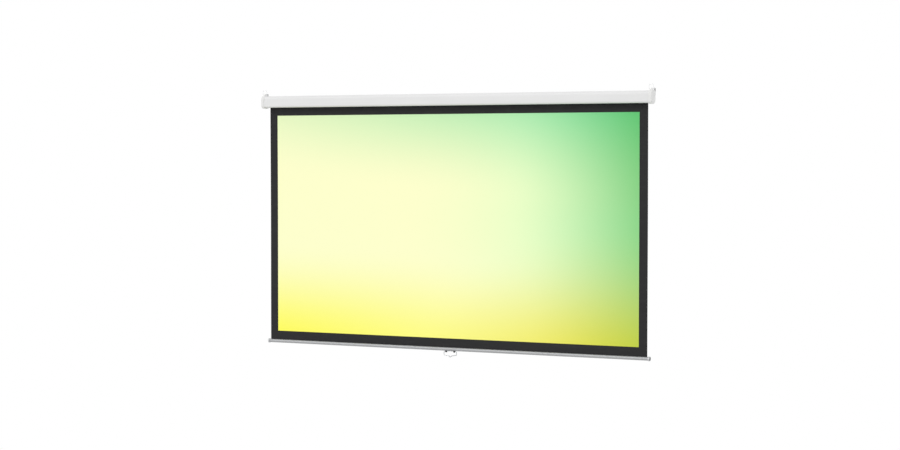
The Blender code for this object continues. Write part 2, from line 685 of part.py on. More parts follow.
def make_spring_motor():
    """What stands still inside the roller's right end: spindle, coil spring and ratchet wheel."""
    tang_end = BRACKET_INNER + TANG_LENGTH
    spindle = rod("spindle", ANCHOR_END - ANCHOR_THICKNESS, tang_end, SPINDLE_RADIUS, "zinc_steel",
                  at=(0, ROLLER_Y, 0), chamfer=PIN_CHAMFER, steps=ROUND_STEPS)
    for k in (-1, 1):
        reach = 2 * SPINDLE_RADIUS
        low_y, high_y = sorted((ROLLER_Y + k * TANG_THICKNESS / 2, ROLLER_Y + k * reach))
        low, high = (BRACKET_INNER - FIT, low_y, -reach), (CAP_OUTER, high_y, reach)
        cut(spindle, block(f"tang_flat_{k}", low, high))

    count = SPRING_TURNS * SPRING_POINTS_PER_TURN
    coil = []
    for k in range(count + 1):
        turn = 2 * math.pi * k / SPRING_POINTS_PER_TURN
        along = SPRING_INNER_END + SPRING_PITCH * k / SPRING_POINTS_PER_TURN
        coil.append((along, SPRING_COIL_RADIUS * math.cos(turn), SPRING_COIL_RADIUS * math.sin(turn)))
    wire("torsion_spring", coil, SPRING_WIRE_RADIUS, "spring_steel", at=(0, ROLLER_Y, 0))

    outline = []
    for k in range(RATCHET_NOTCHES):
        start = 2 * math.pi * k / RATCHET_NOTCHES
        sweep = 2 * math.pi / RATCHET_NOTCHES
        for step in range(CORNER_STEPS + 1):
            share = step / CORNER_STEPS
            radius = RATCHET_RADIUS - RATCHET_NOTCH * max(0, 2 * share - 1) ** 2
            angle = start + sweep * share * RATCHET_SLOPE_SHARE
            outline.append(Vector((radius * math.cos(angle), radius * math.sin(angle))))
    plate("ratchet_wheel", outline, RATCHET_THICKNESS, "zinc_steel",
          at=(RATCHET_INNER + RATCHET_THICKNESS / 2, ROLLER_Y, 0),
          holes=[circle(SPINDLE_RADIUS + FIT, ROUND_STEPS)])


def plug_profile(bore):
    """A tube's end plug, hollow behind its flange, from the flange's outer face inwards."""
    spigot = TUBE_RADIUS - TUBE_WALL - FIT
    inner = spigot - PLUG_WALL
    web = FLANGE_INNER - FLANGE_THICKNESS
    return [
        (FLANGE_OUTER, TUBE_RADIUS),
        (FLANGE_INNER, TUBE_RADIUS),
        (FLANGE_INNER, spigot),
        (TUBE_END - PLUG_LENGTH, spigot),
        (TUBE_END - PLUG_LENGTH, inner),
        (web, inner),
        (web, bore),
        (FLANGE_OUTER, bore),
    ]


def make_roller(axis):
    """Everything that turns with the tube."""
    bore = TUBE_RADIUS - TUBE_WALL
    ring("roller_tube", -TUBE_END, TUBE_END, bore, TUBE_RADIUS, "zinc_steel", parent=axis)
    half = SHEET_WIDTH / 2
    ring("sheet_wraps", -half, half, WRAP_INNER_RADIUS, WRAP_RADIUS, "screen_fabric", parent=axis)
    idle_end = {"turn": ALONG_MINUS_X, "parent": axis}
    turned("idle_plug", plug_profile(GUDGEON_RADIUS + FIT), "black_plastic", hollow=True, **idle_end)
    pin = {"chamfer": PIN_CHAMFER, "steps": ROUND_STEPS, **idle_end}
    pin_end = BRACKET_OUTER + GUDGEON_END_ROOM
    rod("gudgeon_pin", TUBE_END - GUDGEON_INSERT, pin_end, GUDGEON_RADIUS, "zinc_steel", **pin)
    profile = plug_profile(SPINDLE_RADIUS + FIT)
    motor_plug = turned("spring_end_plug", profile, "black_plastic", hollow=True, parent=axis)
    anchor = (ANCHOR_END - ANCHOR_THICKNESS, ANCHOR_END, SPINDLE_RADIUS + FIT, bore - FIT)
    ring("spring_anchor", *anchor, "black_plastic", parent=axis)

    hole_floor = FLANGE_OUTER - PAWL_PIN_SEAT
    pin_far = RATCHET_INNER + PAWL_THICKNESS + 2 * FIT
    for k in range(len(PAWL_LETTERS)):
        letter = PAWL_LETTERS[k]
        angle = 2 * math.pi * k / len(PAWL_LETTERS)
        out = Vector((0, math.cos(angle), math.sin(angle)))
        pivot = axis_empty(f"pawl_axis_{letter}", out * PAWL_ORBIT, parent=axis)
        pivot.rotation_euler = (angle, 0, 0)
        where = {"at": out * PAWL_ORBIT, "parent": axis}
        cut(motor_plug, rod(f"pawl_pin_hole_{letter}", hole_floor, pin_far, PAWL_PIN_RADIUS + FIT, **where))
        rod(f"pawl_pin_{letter}", hole_floor + FIT, pin_far, PAWL_PIN_RADIUS, "zinc_steel", **where)
        make_pawl(letter, pivot)


def make_pawl(letter, pivot):
    """A dog that hangs on its pin and lies along the ratchet wheel's rim, clear of it."""
    half = PAWL_WIDTH / 2
    tip = PAWL_LENGTH
    edge = PAWL_EDGE_RADIUS
    outline = rounded(
        [
            (-half, -half, PAWL_HEEL_RADIUS),
            (half, -half, edge),
            (half, tip, edge),
            (-half / 2, tip, edge),
            (-half, tip - half, edge),
        ]
    )
    middle = RATCHET_INNER + FIT + PAWL_THICKNESS / 2
    plate(f"pawl_{letter}", outline, PAWL_THICKNESS, "zinc_steel", at=(middle, 0, 0), parent=pivot,
          holes=[circle(PAWL_PIN_RADIUS + FIT)])


def make_weight_bar(carriage):
    """The bar that the sheet's lower hem is held in, with its caps."""
    half_slot = math.asin(BAR_SLOT / 2 / BAR_RADIUS)
    sweep = 2 * math.pi - 2 * half_slot
    outline = band(BAR_RADIUS - BAR_WALL, BAR_RADIUS, math.pi / 2 + half_slot, sweep, ROUND_STEPS)
    tube = plate("bar_tube", outline, 2 * BAR_HALF_LENGTH, "silver_bar", parent=carriage)
    rod_half = SHEET_WIDTH / 2 + HEM_ROD_OVERHANG
    rod("hem_rod", -rod_half, rod_half, HEM_ROD_RADIUS, "zinc_steel", parent=carriage)

    edge = BAR_CAP_EDGE_RADIUS
    far = BAR_CAP_OUTER
    bevel = [(far - edge * (1 - math.cos(a)), BAR_CAP_RADIUS - edge * (1 - math.sin(a)))
             for a in (0, math.pi / 6, math.pi / 3, math.pi / 2)]
    profile = [(far, 0), *bevel, (BAR_CAP_INNER, BAR_CAP_RADIUS), (BAR_CAP_INNER, BAR_RADIUS + FIT)]
    profile += [(far - BAR_CAP_WALL, BAR_RADIUS + FIT), (far - BAR_CAP_WALL, 0)]
    for side_name, side in SIDES:
        turned(f"bar_cap_{side_name}", profile, "grey_plastic", turn=ALONG_X if side > 0 else ALONG_MINUS_X,
               parent=carriage)
    return tube


def make_bail_bracket(carriage, tube):
    """The saddle under the bar with an ear at each end, and the two screws that hold it."""
    outer = SADDLE_RADIUS + SADDLE_THICKNESS
    outline = band(SADDLE_RADIUS, outer, -math.pi / 2 - SADDLE_ARC / 2, SADDLE_ARC, CORNER_STEPS)
    saddle = plate("bail_bracket", outline, SADDLE_LENGTH, "dark_steel", parent=carriage)
    half = EAR_THICKNESS / 2
    bottom = -BAIL_PIVOT_DROP - BAIL_WIRE_RADIUS - FIT - EAR_WALL_BELOW
    top = -SADDLE_RADIUS - SADDLE_THICKNESS / 2
    edge = EAR_EDGE_RADIUS
    ear = rounded([(half, top, 0), (-half, top, 0), (-half, bottom, edge), (half, bottom, edge)])
    hole = circle(BAIL_WIRE_RADIUS + FIT, v=-BAIL_PIVOT_DROP)
    for side_name, side in SIDES:
        middle = side * (EAR_OUTER - EAR_WIDTH / 2)
        join(saddle, plate(f"ear_{side_name}", ear, EAR_WIDTH - 2 * FIT, at=(middle, 0, 0), parent=carriage,
                           holes=[hole]))
        x = side * SADDLE_SCREW_SPACING / 2
        drill = {"at": (x, 0, -outer), "turn": (0, 0, 0), "parent": carriage}
        for body, tag in ((saddle, "saddle"), (tube, "tube")):
            cut(body, rod(f"{tag}_hole_{side_name}", -outer, outer / 2, SCREW_RADIUS + FIT, **drill))
        head = (BRACKET_SCREW_HEAD_RADIUS, BRACKET_SCREW_HEAD_HEIGHT)
        screw(f"bracket_screw_{side_name}", head, BRACKET_SCREW_LENGTH, (x, 0, -outer - FIT), POINTING_DOWN,
              parent=carriage)


def make_bail(pivot):
    """The bent wire handle, in the X-Z plane about its pivot."""
    inner_end = EAR_OUTER - EAR_WIDTH
    corners = [
        (-inner_end, 0, 0),
        (-BAIL_HALF_WIDTH, 0, BAIL_SHOULDER_RADIUS),
        (-BAIL_HALF_WIDTH, -BAIL_SIDE_DROP, BAIL_CORNER_RADIUS),
        (-BAIL_DIP_HALF_WIDTH, -BAIL_DIP_TOP, BAIL_SHOULDER_RADIUS),
        (0, -BAIL_DIP_TIP, BAIL_TIP_RADIUS),
        (BAIL_DIP_HALF_WIDTH, -BAIL_DIP_TOP, BAIL_SHOULDER_RADIUS),
        (BAIL_HALF_WIDTH, -BAIL_SIDE_DROP, BAIL_CORNER_RADIUS),
        (BAIL_HALF_WIDTH, 0, BAIL_SHOULDER_RADIUS),
        (inner_end, 0, 0),
    ]
    points = [(x, 0, z) for x, z in rounded(corners, closed=False)]
    wire("bail_handle", points, BAIL_WIRE_RADIUS, "bright_wire", parent=pivot, roundness=2)


def make_loop(side_name, pivot):
    """The wire loop that the screen hangs by, a closed ring whose foot turns in the cap's lug."""
    half = LOOP_WIDTH / 2
    corners = [
        (-half, 0, LOOP_FOOT_RADIUS),
        (half, 0, LOOP_FOOT_RADIUS),
        (half, LOOP_HEIGHT, LOOP_TOP_RADIUS),
        (-half, LOOP_HEIGHT, LOOP_TOP_RADIUS),
    ]
    points = [(x, 0, z) for x, z in rounded(corners)]
    wire(f"hanging_loop_{side_name}", points, LOOP_WIRE_RADIUS, "bright_wire", parent=pivot, closed=True,
         roundness=2)


def make_sheet():
    half = SHEET_WIDTH / 2
    bottom = BAR_Z + HEM_ROD_RADIUS + FIT
    front, rear = SHEET_Y - SHEET_THICKNESS / 2, SHEET_Y + SHEET_THICKNESS / 2
    block("screen_sheet", (-half, front, bottom), (half, rear, 0), "screen_fabric")


def main():
    make_case_shell()
    for side_name, side in SIDES:
        make_end_cap(side_name, side)
        pivot = axis_empty(f"loop_axis_{side_name}", (side * LUG_X, ROLLER_Y, LOOP_PIVOT_Z))
        make_loop(side_name, pivot)
    make_brackets()
    make_spring_motor()
    make_roller(axis_empty("roller_axis", (0, ROLLER_Y, 0)))
    make_sheet()
    carriage = axis_empty("bar_carriage", (0, SHEET_Y, BAR_Z))
    tube = make_weight_bar(carriage)
    make_bail_bracket(carriage, tube)
    make_bail(axis_empty("bail_axis", (0, 0, -BAIL_PIVOT_DROP), parent=carriage))
    print(f"bar travel {TRAVEL:.4f} m, {ROLLER_TURNS:.3f} roller turns, full roll {FULL_ROLL_RADIUS:.4f} m")


clear_scene()
PARTS = new_collection("projector_screen")
CUTTERS = new_collection("cutters")
main()
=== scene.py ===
"""Wall-hung projector screen with a spring roller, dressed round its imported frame.

Everything is in metres in the frame's own axes: X along the width, the wall on the +Y side, Z up, and the
origin at the centre of the case's flat back.
"""

import json
import math

import bmesh
import bpy
import numpy as np
from bpy.props import FloatProperty, FloatVectorProperty, PointerProperty
from mathutils import Matrix, Vector
from mathutils.geometry import tessellate_polygon

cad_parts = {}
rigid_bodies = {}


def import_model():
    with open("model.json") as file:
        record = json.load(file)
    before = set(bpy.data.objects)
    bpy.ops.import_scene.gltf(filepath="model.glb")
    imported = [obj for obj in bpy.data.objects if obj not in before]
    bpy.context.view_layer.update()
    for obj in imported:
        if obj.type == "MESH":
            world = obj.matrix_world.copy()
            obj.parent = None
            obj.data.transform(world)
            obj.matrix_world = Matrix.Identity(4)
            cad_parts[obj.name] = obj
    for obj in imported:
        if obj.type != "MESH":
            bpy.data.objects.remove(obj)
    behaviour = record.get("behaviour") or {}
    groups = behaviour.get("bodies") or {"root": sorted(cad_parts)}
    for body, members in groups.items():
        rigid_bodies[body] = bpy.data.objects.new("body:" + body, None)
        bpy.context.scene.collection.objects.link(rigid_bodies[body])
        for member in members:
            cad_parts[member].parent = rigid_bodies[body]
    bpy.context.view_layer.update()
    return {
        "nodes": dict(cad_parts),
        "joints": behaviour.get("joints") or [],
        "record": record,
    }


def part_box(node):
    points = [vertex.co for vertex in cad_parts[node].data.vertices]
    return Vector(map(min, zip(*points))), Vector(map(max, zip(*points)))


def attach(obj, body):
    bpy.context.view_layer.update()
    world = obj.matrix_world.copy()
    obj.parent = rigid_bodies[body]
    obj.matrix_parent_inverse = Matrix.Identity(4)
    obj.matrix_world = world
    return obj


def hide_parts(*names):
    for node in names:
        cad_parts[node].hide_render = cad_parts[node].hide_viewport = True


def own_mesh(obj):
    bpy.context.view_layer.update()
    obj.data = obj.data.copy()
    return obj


bl_info = {
    "name": "Wall projector screen",
    "version": (1, 0, 0),
    "blender": (4, 5, 0),
    "location": "View3D > Sidebar > Projector screen",
    "description": "Builds a spring-roller projector screen round its packed frame, with its stage",
    "category": "Object",
}

for leftover in list(bpy.data.objects):
    bpy.data.objects.remove(leftover)

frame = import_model()
CASE_LOW, CASE_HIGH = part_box("case_shell")
SHEET_LOW, SHEET_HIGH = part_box("screen_sheet")
TUBE_LOW, TUBE_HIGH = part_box("bar_tube")
TAB_LOW, TAB_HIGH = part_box("wall_tab_right")
CAP_LOW, CAP_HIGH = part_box("end_cap_right")
BAR_CAP_LOW, BAR_CAP_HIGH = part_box("bar_cap_right")

# How finely round shapes are drawn
CORNER_STEPS = 14
ROUND_STEPS = 64
SOFT_STEPS = 8
SHEET_COLUMNS = 200
SHEET_ROWS = 120
TURN_STEPS = 72

# Edges that turn by more degrees than this are sharp, where nothing else is said
SHARP_ANGLE = 35

FIT = 0.0003
SIDES = (("left", -1), ("right", 1))
LEVELS = ("upper", "lower")

# Case section
CASE_WALL = 0.0012
CASE_TOP_FRONT_RADIUS = 0.020
CASE_BOTTOM_FRONT_RADIUS = 0.012
CASE_REAR_RADIUS = 0.004
CASE_RADII = (CASE_REAR_RADIUS, CASE_REAR_RADIUS, CASE_TOP_FRONT_RADIUS, CASE_BOTTOM_FRONT_RADIUS)
LIP_HEIGHT = 0.006
LIP_RADIUS = 0.002
SLOT_FRONT_ROOM = 0.007
SLOT_REAR_ROOM = 0.009
PORT_RADIUS = 0.0037
PORT_BORE = 0.0018
PORT_BITE = 0.0005

# End caps; the corner radii run from the bottom rear over the top to the bottom front
CAP_TOP = CASE_HIGH.z + CAP_HIGH.y
CAP_FLOOR = 1.2251
CAP_EDGE_RADIUS = 0.006
CAP_RADII = (0.026, 0.008, 0.024, 0.020)
CAP_RIM_SOFTNESS = 0.0005
CAP_POCKET_RADIUS = 0.012
CAP_POCKET_END = 1.2325
CAP_SCREW_SEAT = 1.2312
BORE_CHAMFER = 0.0004
LUG_X = 1.225
LUG_WIDTH = 0.013
LUG_DEPTH = 0.016
LUG_TOP_RADIUS = 0.0065
LUG_FOOT = 0.0015
LUG_SOFTNESS = 0.0012

# Wall tabs
TAB_X = (TAB_LOW.x + TAB_HIGH.x) / 2
TAB_RECESS_TOP = 0.06
TAB_HOLE_RADIUS = 0.0033
TAB_HOLE_Z = 0.0432
TAB_CORNER_RADIUS = 0.003
TAB_FOOT_RADIUS = 0.0004
TAB_SCREW_Z = 0.0184
TAB_SOFTNESS = 0.0002

# Screws: head radius, head height, length
CAP_SCREW = (0.0032, 0.0022, 0.018)
TAB_SCREW = (0.0027, 0.0014, 0.011)
BRACKET_SCREW = (0.0029, 0.0015, 0.006)
SCREW_RADIUS = 0.0015
RECESS_WIDTH = 0.0008
RECESS_LENGTH = 0.0034
RECESS_DEPTH = 0.0009
HEAD_EDGE = 0.0002

# A pan head's crown: the angle that its rounding starts at, and the power that fills it out
CROWN_START = math.radians(12)
CROWN_POWER = 0.6

# The recess's blades: how far above the crown each end is, in depths, and its share of the full size
BLADE_ENDS = ((0.3, 1.1), (-1.0, 0.6))

# Hanging loops
LOOP_WIRE_RADIUS = 0.0013
LOOP_HALF_WIDTH = 0.013
LOOP_HEIGHT = 0.028
LOOP_FOOT_RADIUS = 0.004
LOOP_TOP_RADIUS = 0.0125
LOOP_PIVOT_Z = 0.0429

# Roller and sheet
ROLLER_Y = -0.0387
TUBE_RADIUS = 0.019
SHEET_Y = (SHEET_LOW.y + SHEET_HIGH.y) / 2
SHEET_THICKNESS = SHEET_HIGH.y - SHEET_LOW.y
SHEET_WIDTH = SHEET_HIGH.x - SHEET_LOW.x
SHEET_START_ROOM = 0.0014
SHEET_TOP = SHEET_HIGH.z - SHEET_START_ROOM
SHEET_LENGTH = SHEET_TOP - SHEET_LOW.z
SHEET_FOOT = 0.025
WRAP_TURNS = 2
WRAP_PITCH = 0.0005
PICTURE_WIDTH = 2.300
PICTURE_TOP = CASE_LOW.z - 0.0485
PICTURE_HEIGHT = 1.294

# The sheet's waves: how many across and down, and the angle that each starts at
WAVES_ACROSS, WAVE_START_ACROSS = 2.3, 0.7
WAVES_DOWN, WAVE_START_DOWN = 0.7, 0.4

# Shares of the sheet's length: where it comes free below the slot, and how much hangs free
SHEET_FREE_FROM, SHEET_FREE_SHARE = 0.05, 0.93

# The power by which the waves keep flat near the sheet's held ends
HOLD_POWER = 1.5

# Where on the sheet's map its cut edges take their look from, a place in the border
EDGE_PLACE = (0.001, 0.001)

# Half the blur of the picture's edges, as shares of the sheet's width and of its length
BLUR_ACROSS, BLUR_DOWN = 0.0002, 0.0003

# The painted projector light's lobes: where each colour is centred and how far it reaches, across and up
PROJECTED_LIGHT_LOBES = {
    "mint": (1.87, 1.15, 2.64, 0.605),
    "lemon": (-0.66, -0.09, 2.57, 0.53),
    "leaf": (1.80, 0.54, 1.47, 1.00),
    "olive": (1.00, -0.26, 0.67, 0.81),
    "moss": (1.31, 1.24, 0.675, 3.00),
}
LOBE_POWER = 2.13

# Weight bar
BAR_TRAVEL = next(joint["range_m"][1] for joint in frame["joints"] if joint["name"] == "screen_travel")
BAR_RADIUS = TUBE_HIGH.y - SHEET_Y
BAR_Z = TUBE_LOW.z + BAR_RADIUS
BAR_WALL = 0.0015
BAR_SLOT = 0.003
BAR_CAP_RADIUS = 0.0125
BAR_CAP_WALL = 0.003
BAR_CAP_EDGE_RADIUS = 0.0025
BAR_CAP_DISC_RADIUS = 0.0092
BAR_CAP_DISC_SINK = 0.0004
BAR_CAP_GROOVE_DEPTH = 0.0005
BAR_CAP_GROOVE_STEP = 0.0004
BAR_CAP_LIP = 0.0002
BAR_CAP_CHAMFER = 0.0004
BAR_CAP_LEAD_IN = 0.0003

# Bail and its bracket; the ears' dark dip ends below the bar's axis by a share of the saddle's inner radius
SADDLE_INNER = 0.0103
SADDLE_OUTER = 0.0119
SADDLE_HALF_LENGTH = 0.032
SADDLE_ARC = math.radians(100)
SADDLE_SOFTNESS = 0.00025
EAR_MIDDLE = 0.026
EAR_HALF_WIDTH = 0.0057
EAR_HALF_THICKNESS = 0.0038
EAR_EDGE_RADIUS = 0.0034
EAR_SOFTNESS = 0.001
EAR_DROP = 0.0188
DIP_SHARE = 0.8
BAIL_DROP = 0.015
BAIL_WIRE_RADIUS = 0.0025
SADDLE_SCREW_X = 0.010
BAIL_BORE_REACH = 0.04
SADDLE_DRILL_REACH = 0.02

# The right half of the bail's bends, from its pivot to its middle: across, up and radius
BAIL_BENDS = ((0.040, 0, 0.005), (0.040, -0.019, 0.006), (0.009, -0.0235, 0.005))
BAIL_DIP = (0, -0.031, 0.003)

# Lamps: the way from the screen to each, and the angle in degrees that softens its shadows
LAMPS = {"key": ((-0.35, -0.75, 0.56), 14), "fill": ((0.85, -0.45, 0.2), 40)}

# Floor: its grid's rings and spokes, its radius in reaches, and the share of a reach where it starts to fade
FLOOR_RINGS, FLOOR_SPOKES = 8, 96
FLOOR_REACHES = 4
FADE_START = 0.45

# The photograph's camera, solved from the corners of the sheet and its picture; angles in degrees
CAMERA_LENS = 75.297
CAMERA_PLACE = (4.6634, -9.7976, -0.3263)
CAMERA_TURN = 25.504
CAMERA_DIP = 2.087
CAMERA_ROLL = 0.009

# How far cutters reach past what they cut
PAST = 0.0002
SINK_PAST = 0.001
DRILL_PAST = 0.002
RECESS_PAST = 0.005
WELL_PAST = 0.01

X_AXIS = (1.0, 0.0, 0.0)
REAR_AXIS = (0.0, 1.0, 0.0)
DOWN_AXIS = (0.0, 0.0, -1.0)


def tone(red, green, blue):
    """Linear colour from a display colour of 0 to 255 a channel, by the sRGB curve."""
    shares = np.array((red, green, blue)) / 255
    linear = np.where(shares <= 0.04045, shares / 12.92, ((shares + 0.055) / 1.055) ** 2.4)
    return tuple(float(value) for value in linear)


def colour_property(name, description, default):
    return FloatVectorProperty(name=name, description=description, default=default, subtype="COLOR",
                               min=0.0, max=1.0)


def length_property(name, description, default):
    return FloatProperty(name=name, description=description, default=default, subtype="DISTANCE",
                         unit="LENGTH", min=0.0, precision=5)


def level_property(name, giver, default):
    description = f"Share of the plain level that the {giver} gives"
    return FloatProperty(name=name, description=description, default=default, min=0.0)


class ScreenSizes(bpy.types.PropertyGroup):
    """Sizes of the fine forms that a user would change."""

    wave_depth: length_property("Sheet wave", "How far the hanging sheet waves in and out", 0.0009)
    edge_curl: length_property("Edge curl", "How far the sheet's side edges curl back", 0.0015)
    curl_width: length_property("Curl width", "How wide the curled strip at each side edge is", 0.07)
    weave_pitch: length_property("Weave pitch", "Distance between the ribs pressed into the vinyl", 0.0009)
    peel_size: length_property("Orange peel", "Size of the ripples in the powder coat", 0.0022)
    cap_softness: length_property("Cap edge", "Radius of an end cap's outer edge", CAP_EDGE_RADIUS)


class ScreenColours(bpy.types.PropertyGroup):
    """Colours of the finishes, of the projector's light painted on the sheet, and of the painted highlight
    and shade on the bar caps.
    """

    case_white: colour_property("Case", "Powder coat of the case", tone(228, 228, 228))
    cap_white: colour_property("End caps", "Moulded plastic of the end caps", tone(231, 231, 230))
    border: colour_property("Border", "Black border of the sheet", tone(42, 42, 43))
    sheet_back: colour_property("Sheet back", "Back of the sheet", tone(34, 34, 35))
    # The picture colours are the projector's light, painted into the sheet's base colour
    cream: colour_property("Picture cream", "Middle of the projected gradient", tone(254, 255, 205))
    mint: colour_property("Picture mint", "Top of the projected gradient", tone(0, 221, 156))
    lemon: colour_property("Picture lemon", "Foot of the projected gradient", tone(255, 251, 0))
    leaf: colour_property("Picture leaf", "Right side of the projected gradient", tone(0, 255, 174))
    olive: colour_property("Picture olive", "Lower right of the projected gradient", tone(234, 222, 0))
    moss: colour_property("Picture moss", "Far right of the projected gradient", tone(49, 162, 19))
    silver: colour_property("Weight bar", "Anodised weight bar", tone(178, 179, 181))
    # Painted highlight and painted shade: the bar caps' lighter collar and darker end disc
    collar: colour_property("Bar cap collar", "Rim of the weight bar's caps", tone(200, 201, 203))
    disc: colour_property("Bar cap disc", "End of the weight bar's caps", tone(98, 99, 101))
    tab: colour_property("Wall tabs", "Dark zinc of the wall tabs", tone(112, 112, 114))
    saddle: colour_property("Bail saddle", "Plated saddle of the bail's bracket", tone(182, 183, 185))
    ear: colour_property("Bail ears", "Dark dip on the ears of the bail's bracket", tone(50, 50, 52))
    bail: colour_property("Bail", "Nickel-plated wire of the bail", tone(205, 206, 208))
    loop: colour_property("Hanging loops", "Bright wire of the hanging loops", tone(236, 237, 238))
    zinc: colour_property("Zinc plate", "Screws, pins and plates", tone(196, 198, 201))
    spring: colour_property("Spring", "Oiled spring steel", tone(112, 112, 115))
    nylon: colour_property("Nylon", "Bush of the idle end", tone(236, 233, 222))
    plug: colour_property("Plugs", "Black plastic of the roller's plugs", tone(38, 38, 39))
    floor: colour_property("Floor", "Plain floor far below the screen", tone(238, 238, 238))


class StageLevels(bpy.types.PropertyGroup):
    """Levels of the lamps and the world, and the floor's place."""

    key: level_property("Key", "key lamp", 0.20)
    fill: level_property("Fill", "fill lamp", 0.08)
    world: level_property("World", "world", 0.82)
    floor_z: FloatProperty(name="Floor", description="Height of the floor, below the case's middle",
                           default=-2.7, subtype="DISTANCE", unit="LENGTH")
    floor_reach: length_property("Floor reach", "Radius within which the floor shows its own colour", 4.2)


# Flat outlines


def rounded_path(corners, closed=True, steps=CORNER_STEPS):
    """A flat path through corners (u, v, radius), each turned by an arc that touches both of its sides.

    The arc's centre lies on the corner's bisector, radius / sin(half angle) from the corner.
    """
    flat = np.array([corner[:2] for corner in corners], float)
    count = len(corners)
    stretches = []
    for i, (_, _, radius) in enumerate(corners):
        here = flat[i]
        if radius <= 0 or (not closed and i in (0, count - 1)):
            stretches.append(here[None, :])
            continue
        back = flat[i - 1] - here
        ahead = flat[(i + 1) % count] - here
        back /= np.linalg.norm(back)
        ahead /= np.linalg.norm(ahead)
        half = math.acos(float(np.clip(back @ ahead, -1, 1))) / 2
        bisector = (back + ahead) / np.linalg.norm(back + ahead)
        centre = here + bisector * radius / math.sin(half)
        start = here + back * radius / math.tan(half) - centre
        side = 1 if back[0] * ahead[1] - back[1] * ahead[0] < 0 else -1
        turn = np.linspace(0, side * (math.pi - 2 * half), steps + 1)
        stretches.append(centre + spun(start, turn))
    return np.vstack(stretches)


def spun(vector, angles):
    """A flat vector turned by each angle; its parts may also be one number for each angle."""
    cos, sin = np.cos(angles), np.sin(angles)
    return np.column_stack([vector[0] * cos - vector[1] * sin, vector[0] * sin + vector[1] * cos])


def circle(radius, u=0.0, v=0.0, steps=ROUND_STEPS):
    """Points round a centre: (u + r cos t, v + r sin t) for even t."""
    return np.array((u, v)) + spun((radius, 0.0), 2 * np.pi * np.arange(steps) / steps)


def ring_part(inner, outer, start, sweep, steps):
    """The outline of part of a flat ring: out along the outer arc and back along the inner one."""
    angles = start + np.linspace(0, sweep, steps + 1)
    return np.vstack([spun((outer, 0.0), angles), spun((inner, 0.0), angles[::-1])])


def rounded_box(low, high, radii):
    """A flat box, its corner radii in turn from (high u, low v) by way of high and (low u, high v) to low."""
    places = ((high[0], low[1]), high, (low[0], high[1]), low)
    return rounded_path([(*place, radius) for place, radius in zip(places, radii)])


def cap_outline(inset):
    """An end cap's outline in (y, z), moved in on every side, with its corner radii less by as much."""
    low, high = (CAP_LOW.y + inset, CAP_LOW.z + inset), (CAP_HIGH.y - inset, CAP_TOP - inset)
    return rounded_box(low, high, [radius - inset for radius in CAP_RADII])


def lug_outline(inset):
    """The arch of the lug that a hanging loop turns in, moved in on every side but its foot."""
    half = LUG_DEPTH / 2 - inset
    foot, top = CAP_TOP - LUG_FOOT, CAP_HIGH.z - inset
    radius = LUG_TOP_RADIUS - inset
    corners = [(half, foot, 0), (half, top, radius), (-half, top, radius), (-half, foot, 0)]
    return rounded_path(corners) + (ROLLER_Y, 0.0)


def ear_outline(inset):
    """The outline of the bracket's ear in (y, z) about the bar's axis, moved in on every side but its top."""
    half = EAR_HALF_THICKNESS - inset
    top, bottom = -(SADDLE_INNER + SADDLE_OUTER) / 2, -EAR_DROP + inset
    radius = EAR_EDGE_RADIUS - inset
    corners = [(half, top, 0), (-half, top, 0), (-half, bottom, radius), (half, bottom, radius)]
    return rounded_path(corners) + (SHEET_Y, BAR_Z)


def seat_outline():
    """The case's outside in (y, z) with a fit's clearance, which a cap's seat takes."""
    low, high = (CASE_LOW.y - FIT, CASE_LOW.z - FIT), (CASE_HIGH.y + FIT, CASE_HIGH.z + FIT)
    return rounded_box(low, high, [radius + FIT for radius in CASE_RADII])


def case_path(inset):
    """The case wall's path in (y, z) from its rear lip to its front lip, this far inside the outer face."""
    rear_slot, front_slot = SHEET_Y + SLOT_REAR_ROOM + inset, SHEET_Y - SLOT_FRONT_ROOM - inset
    low_z, high_z, lip_z = CASE_LOW.z + inset, CASE_HIGH.z - inset, CASE_LOW.z + LIP_HEIGHT
    low_y, high_y = CASE_LOW.y + inset, CASE_HIGH.y - inset
    places = [(rear_slot, low_z), (high_y, low_z), (high_y, high_z)]
    places += [(low_y, high_z), (low_y, low_z), (front_slot, low_z)]
    radii = (LIP_RADIUS, *CASE_RADII, LIP_RADIUS)
    bends = [(*place, radius - inset) for place, radius in zip(places, radii)]
    return rounded_path([(rear_slot, lip_z, 0), *bends, (front_slot, lip_z, 0)], closed=False)


def port_places():
    """The (y, z) centres of the screw ports, in the rear top and front bottom corners."""
    tuck = CASE_WALL + PORT_RADIUS - PORT_BITE
    insets = []
    for radius in (CASE_REAR_RADIUS, CASE_BOTTOM_FRONT_RADIUS):
        reach = max(radius, tuck)
        insets.append(reach - (reach - tuck) * math.sqrt(0.5))
    rear, front = insets
    return np.array([(CASE_HIGH.y - rear, CASE_HIGH.z - rear), (CASE_LOW.y + front, CASE_LOW.z + front)])


def round_port(path, centre):
    """The path with its stretch inside a screw port's circle led round the port's free side.

    The circle is met where |a + s (b - a) - centre| is the port's radius.
    """
    held = np.flatnonzero(np.linalg.norm(path - centre, axis=1) < PORT_RADIUS)
    ends = []
    for outside, inside in ((held[0] - 1, held[0]), (held[-1] + 1, held[-1])):
        away, step = path[outside] - centre, path[inside] - path[outside]
        half_b, square = away @ step, step @ step
        share = (-half_b - math.sqrt(half_b**2 - square * (away @ away - PORT_RADIUS**2))) / square
        ends.append(away + step * share)
    start, end = ends
    cross = start[0] * end[1] - start[1] * end[0]
    sweep = math.copysign(2 * math.pi, -cross) + math.atan2(cross, start @ end)
    around = centre + spun(start, np.linspace(0, sweep, ROUND_STEPS // 2))
    return np.vstack([path[: held[0]], around, path[held[-1] + 1 :]])


# Skins: points and faces, with a place for each point on the surface's own map


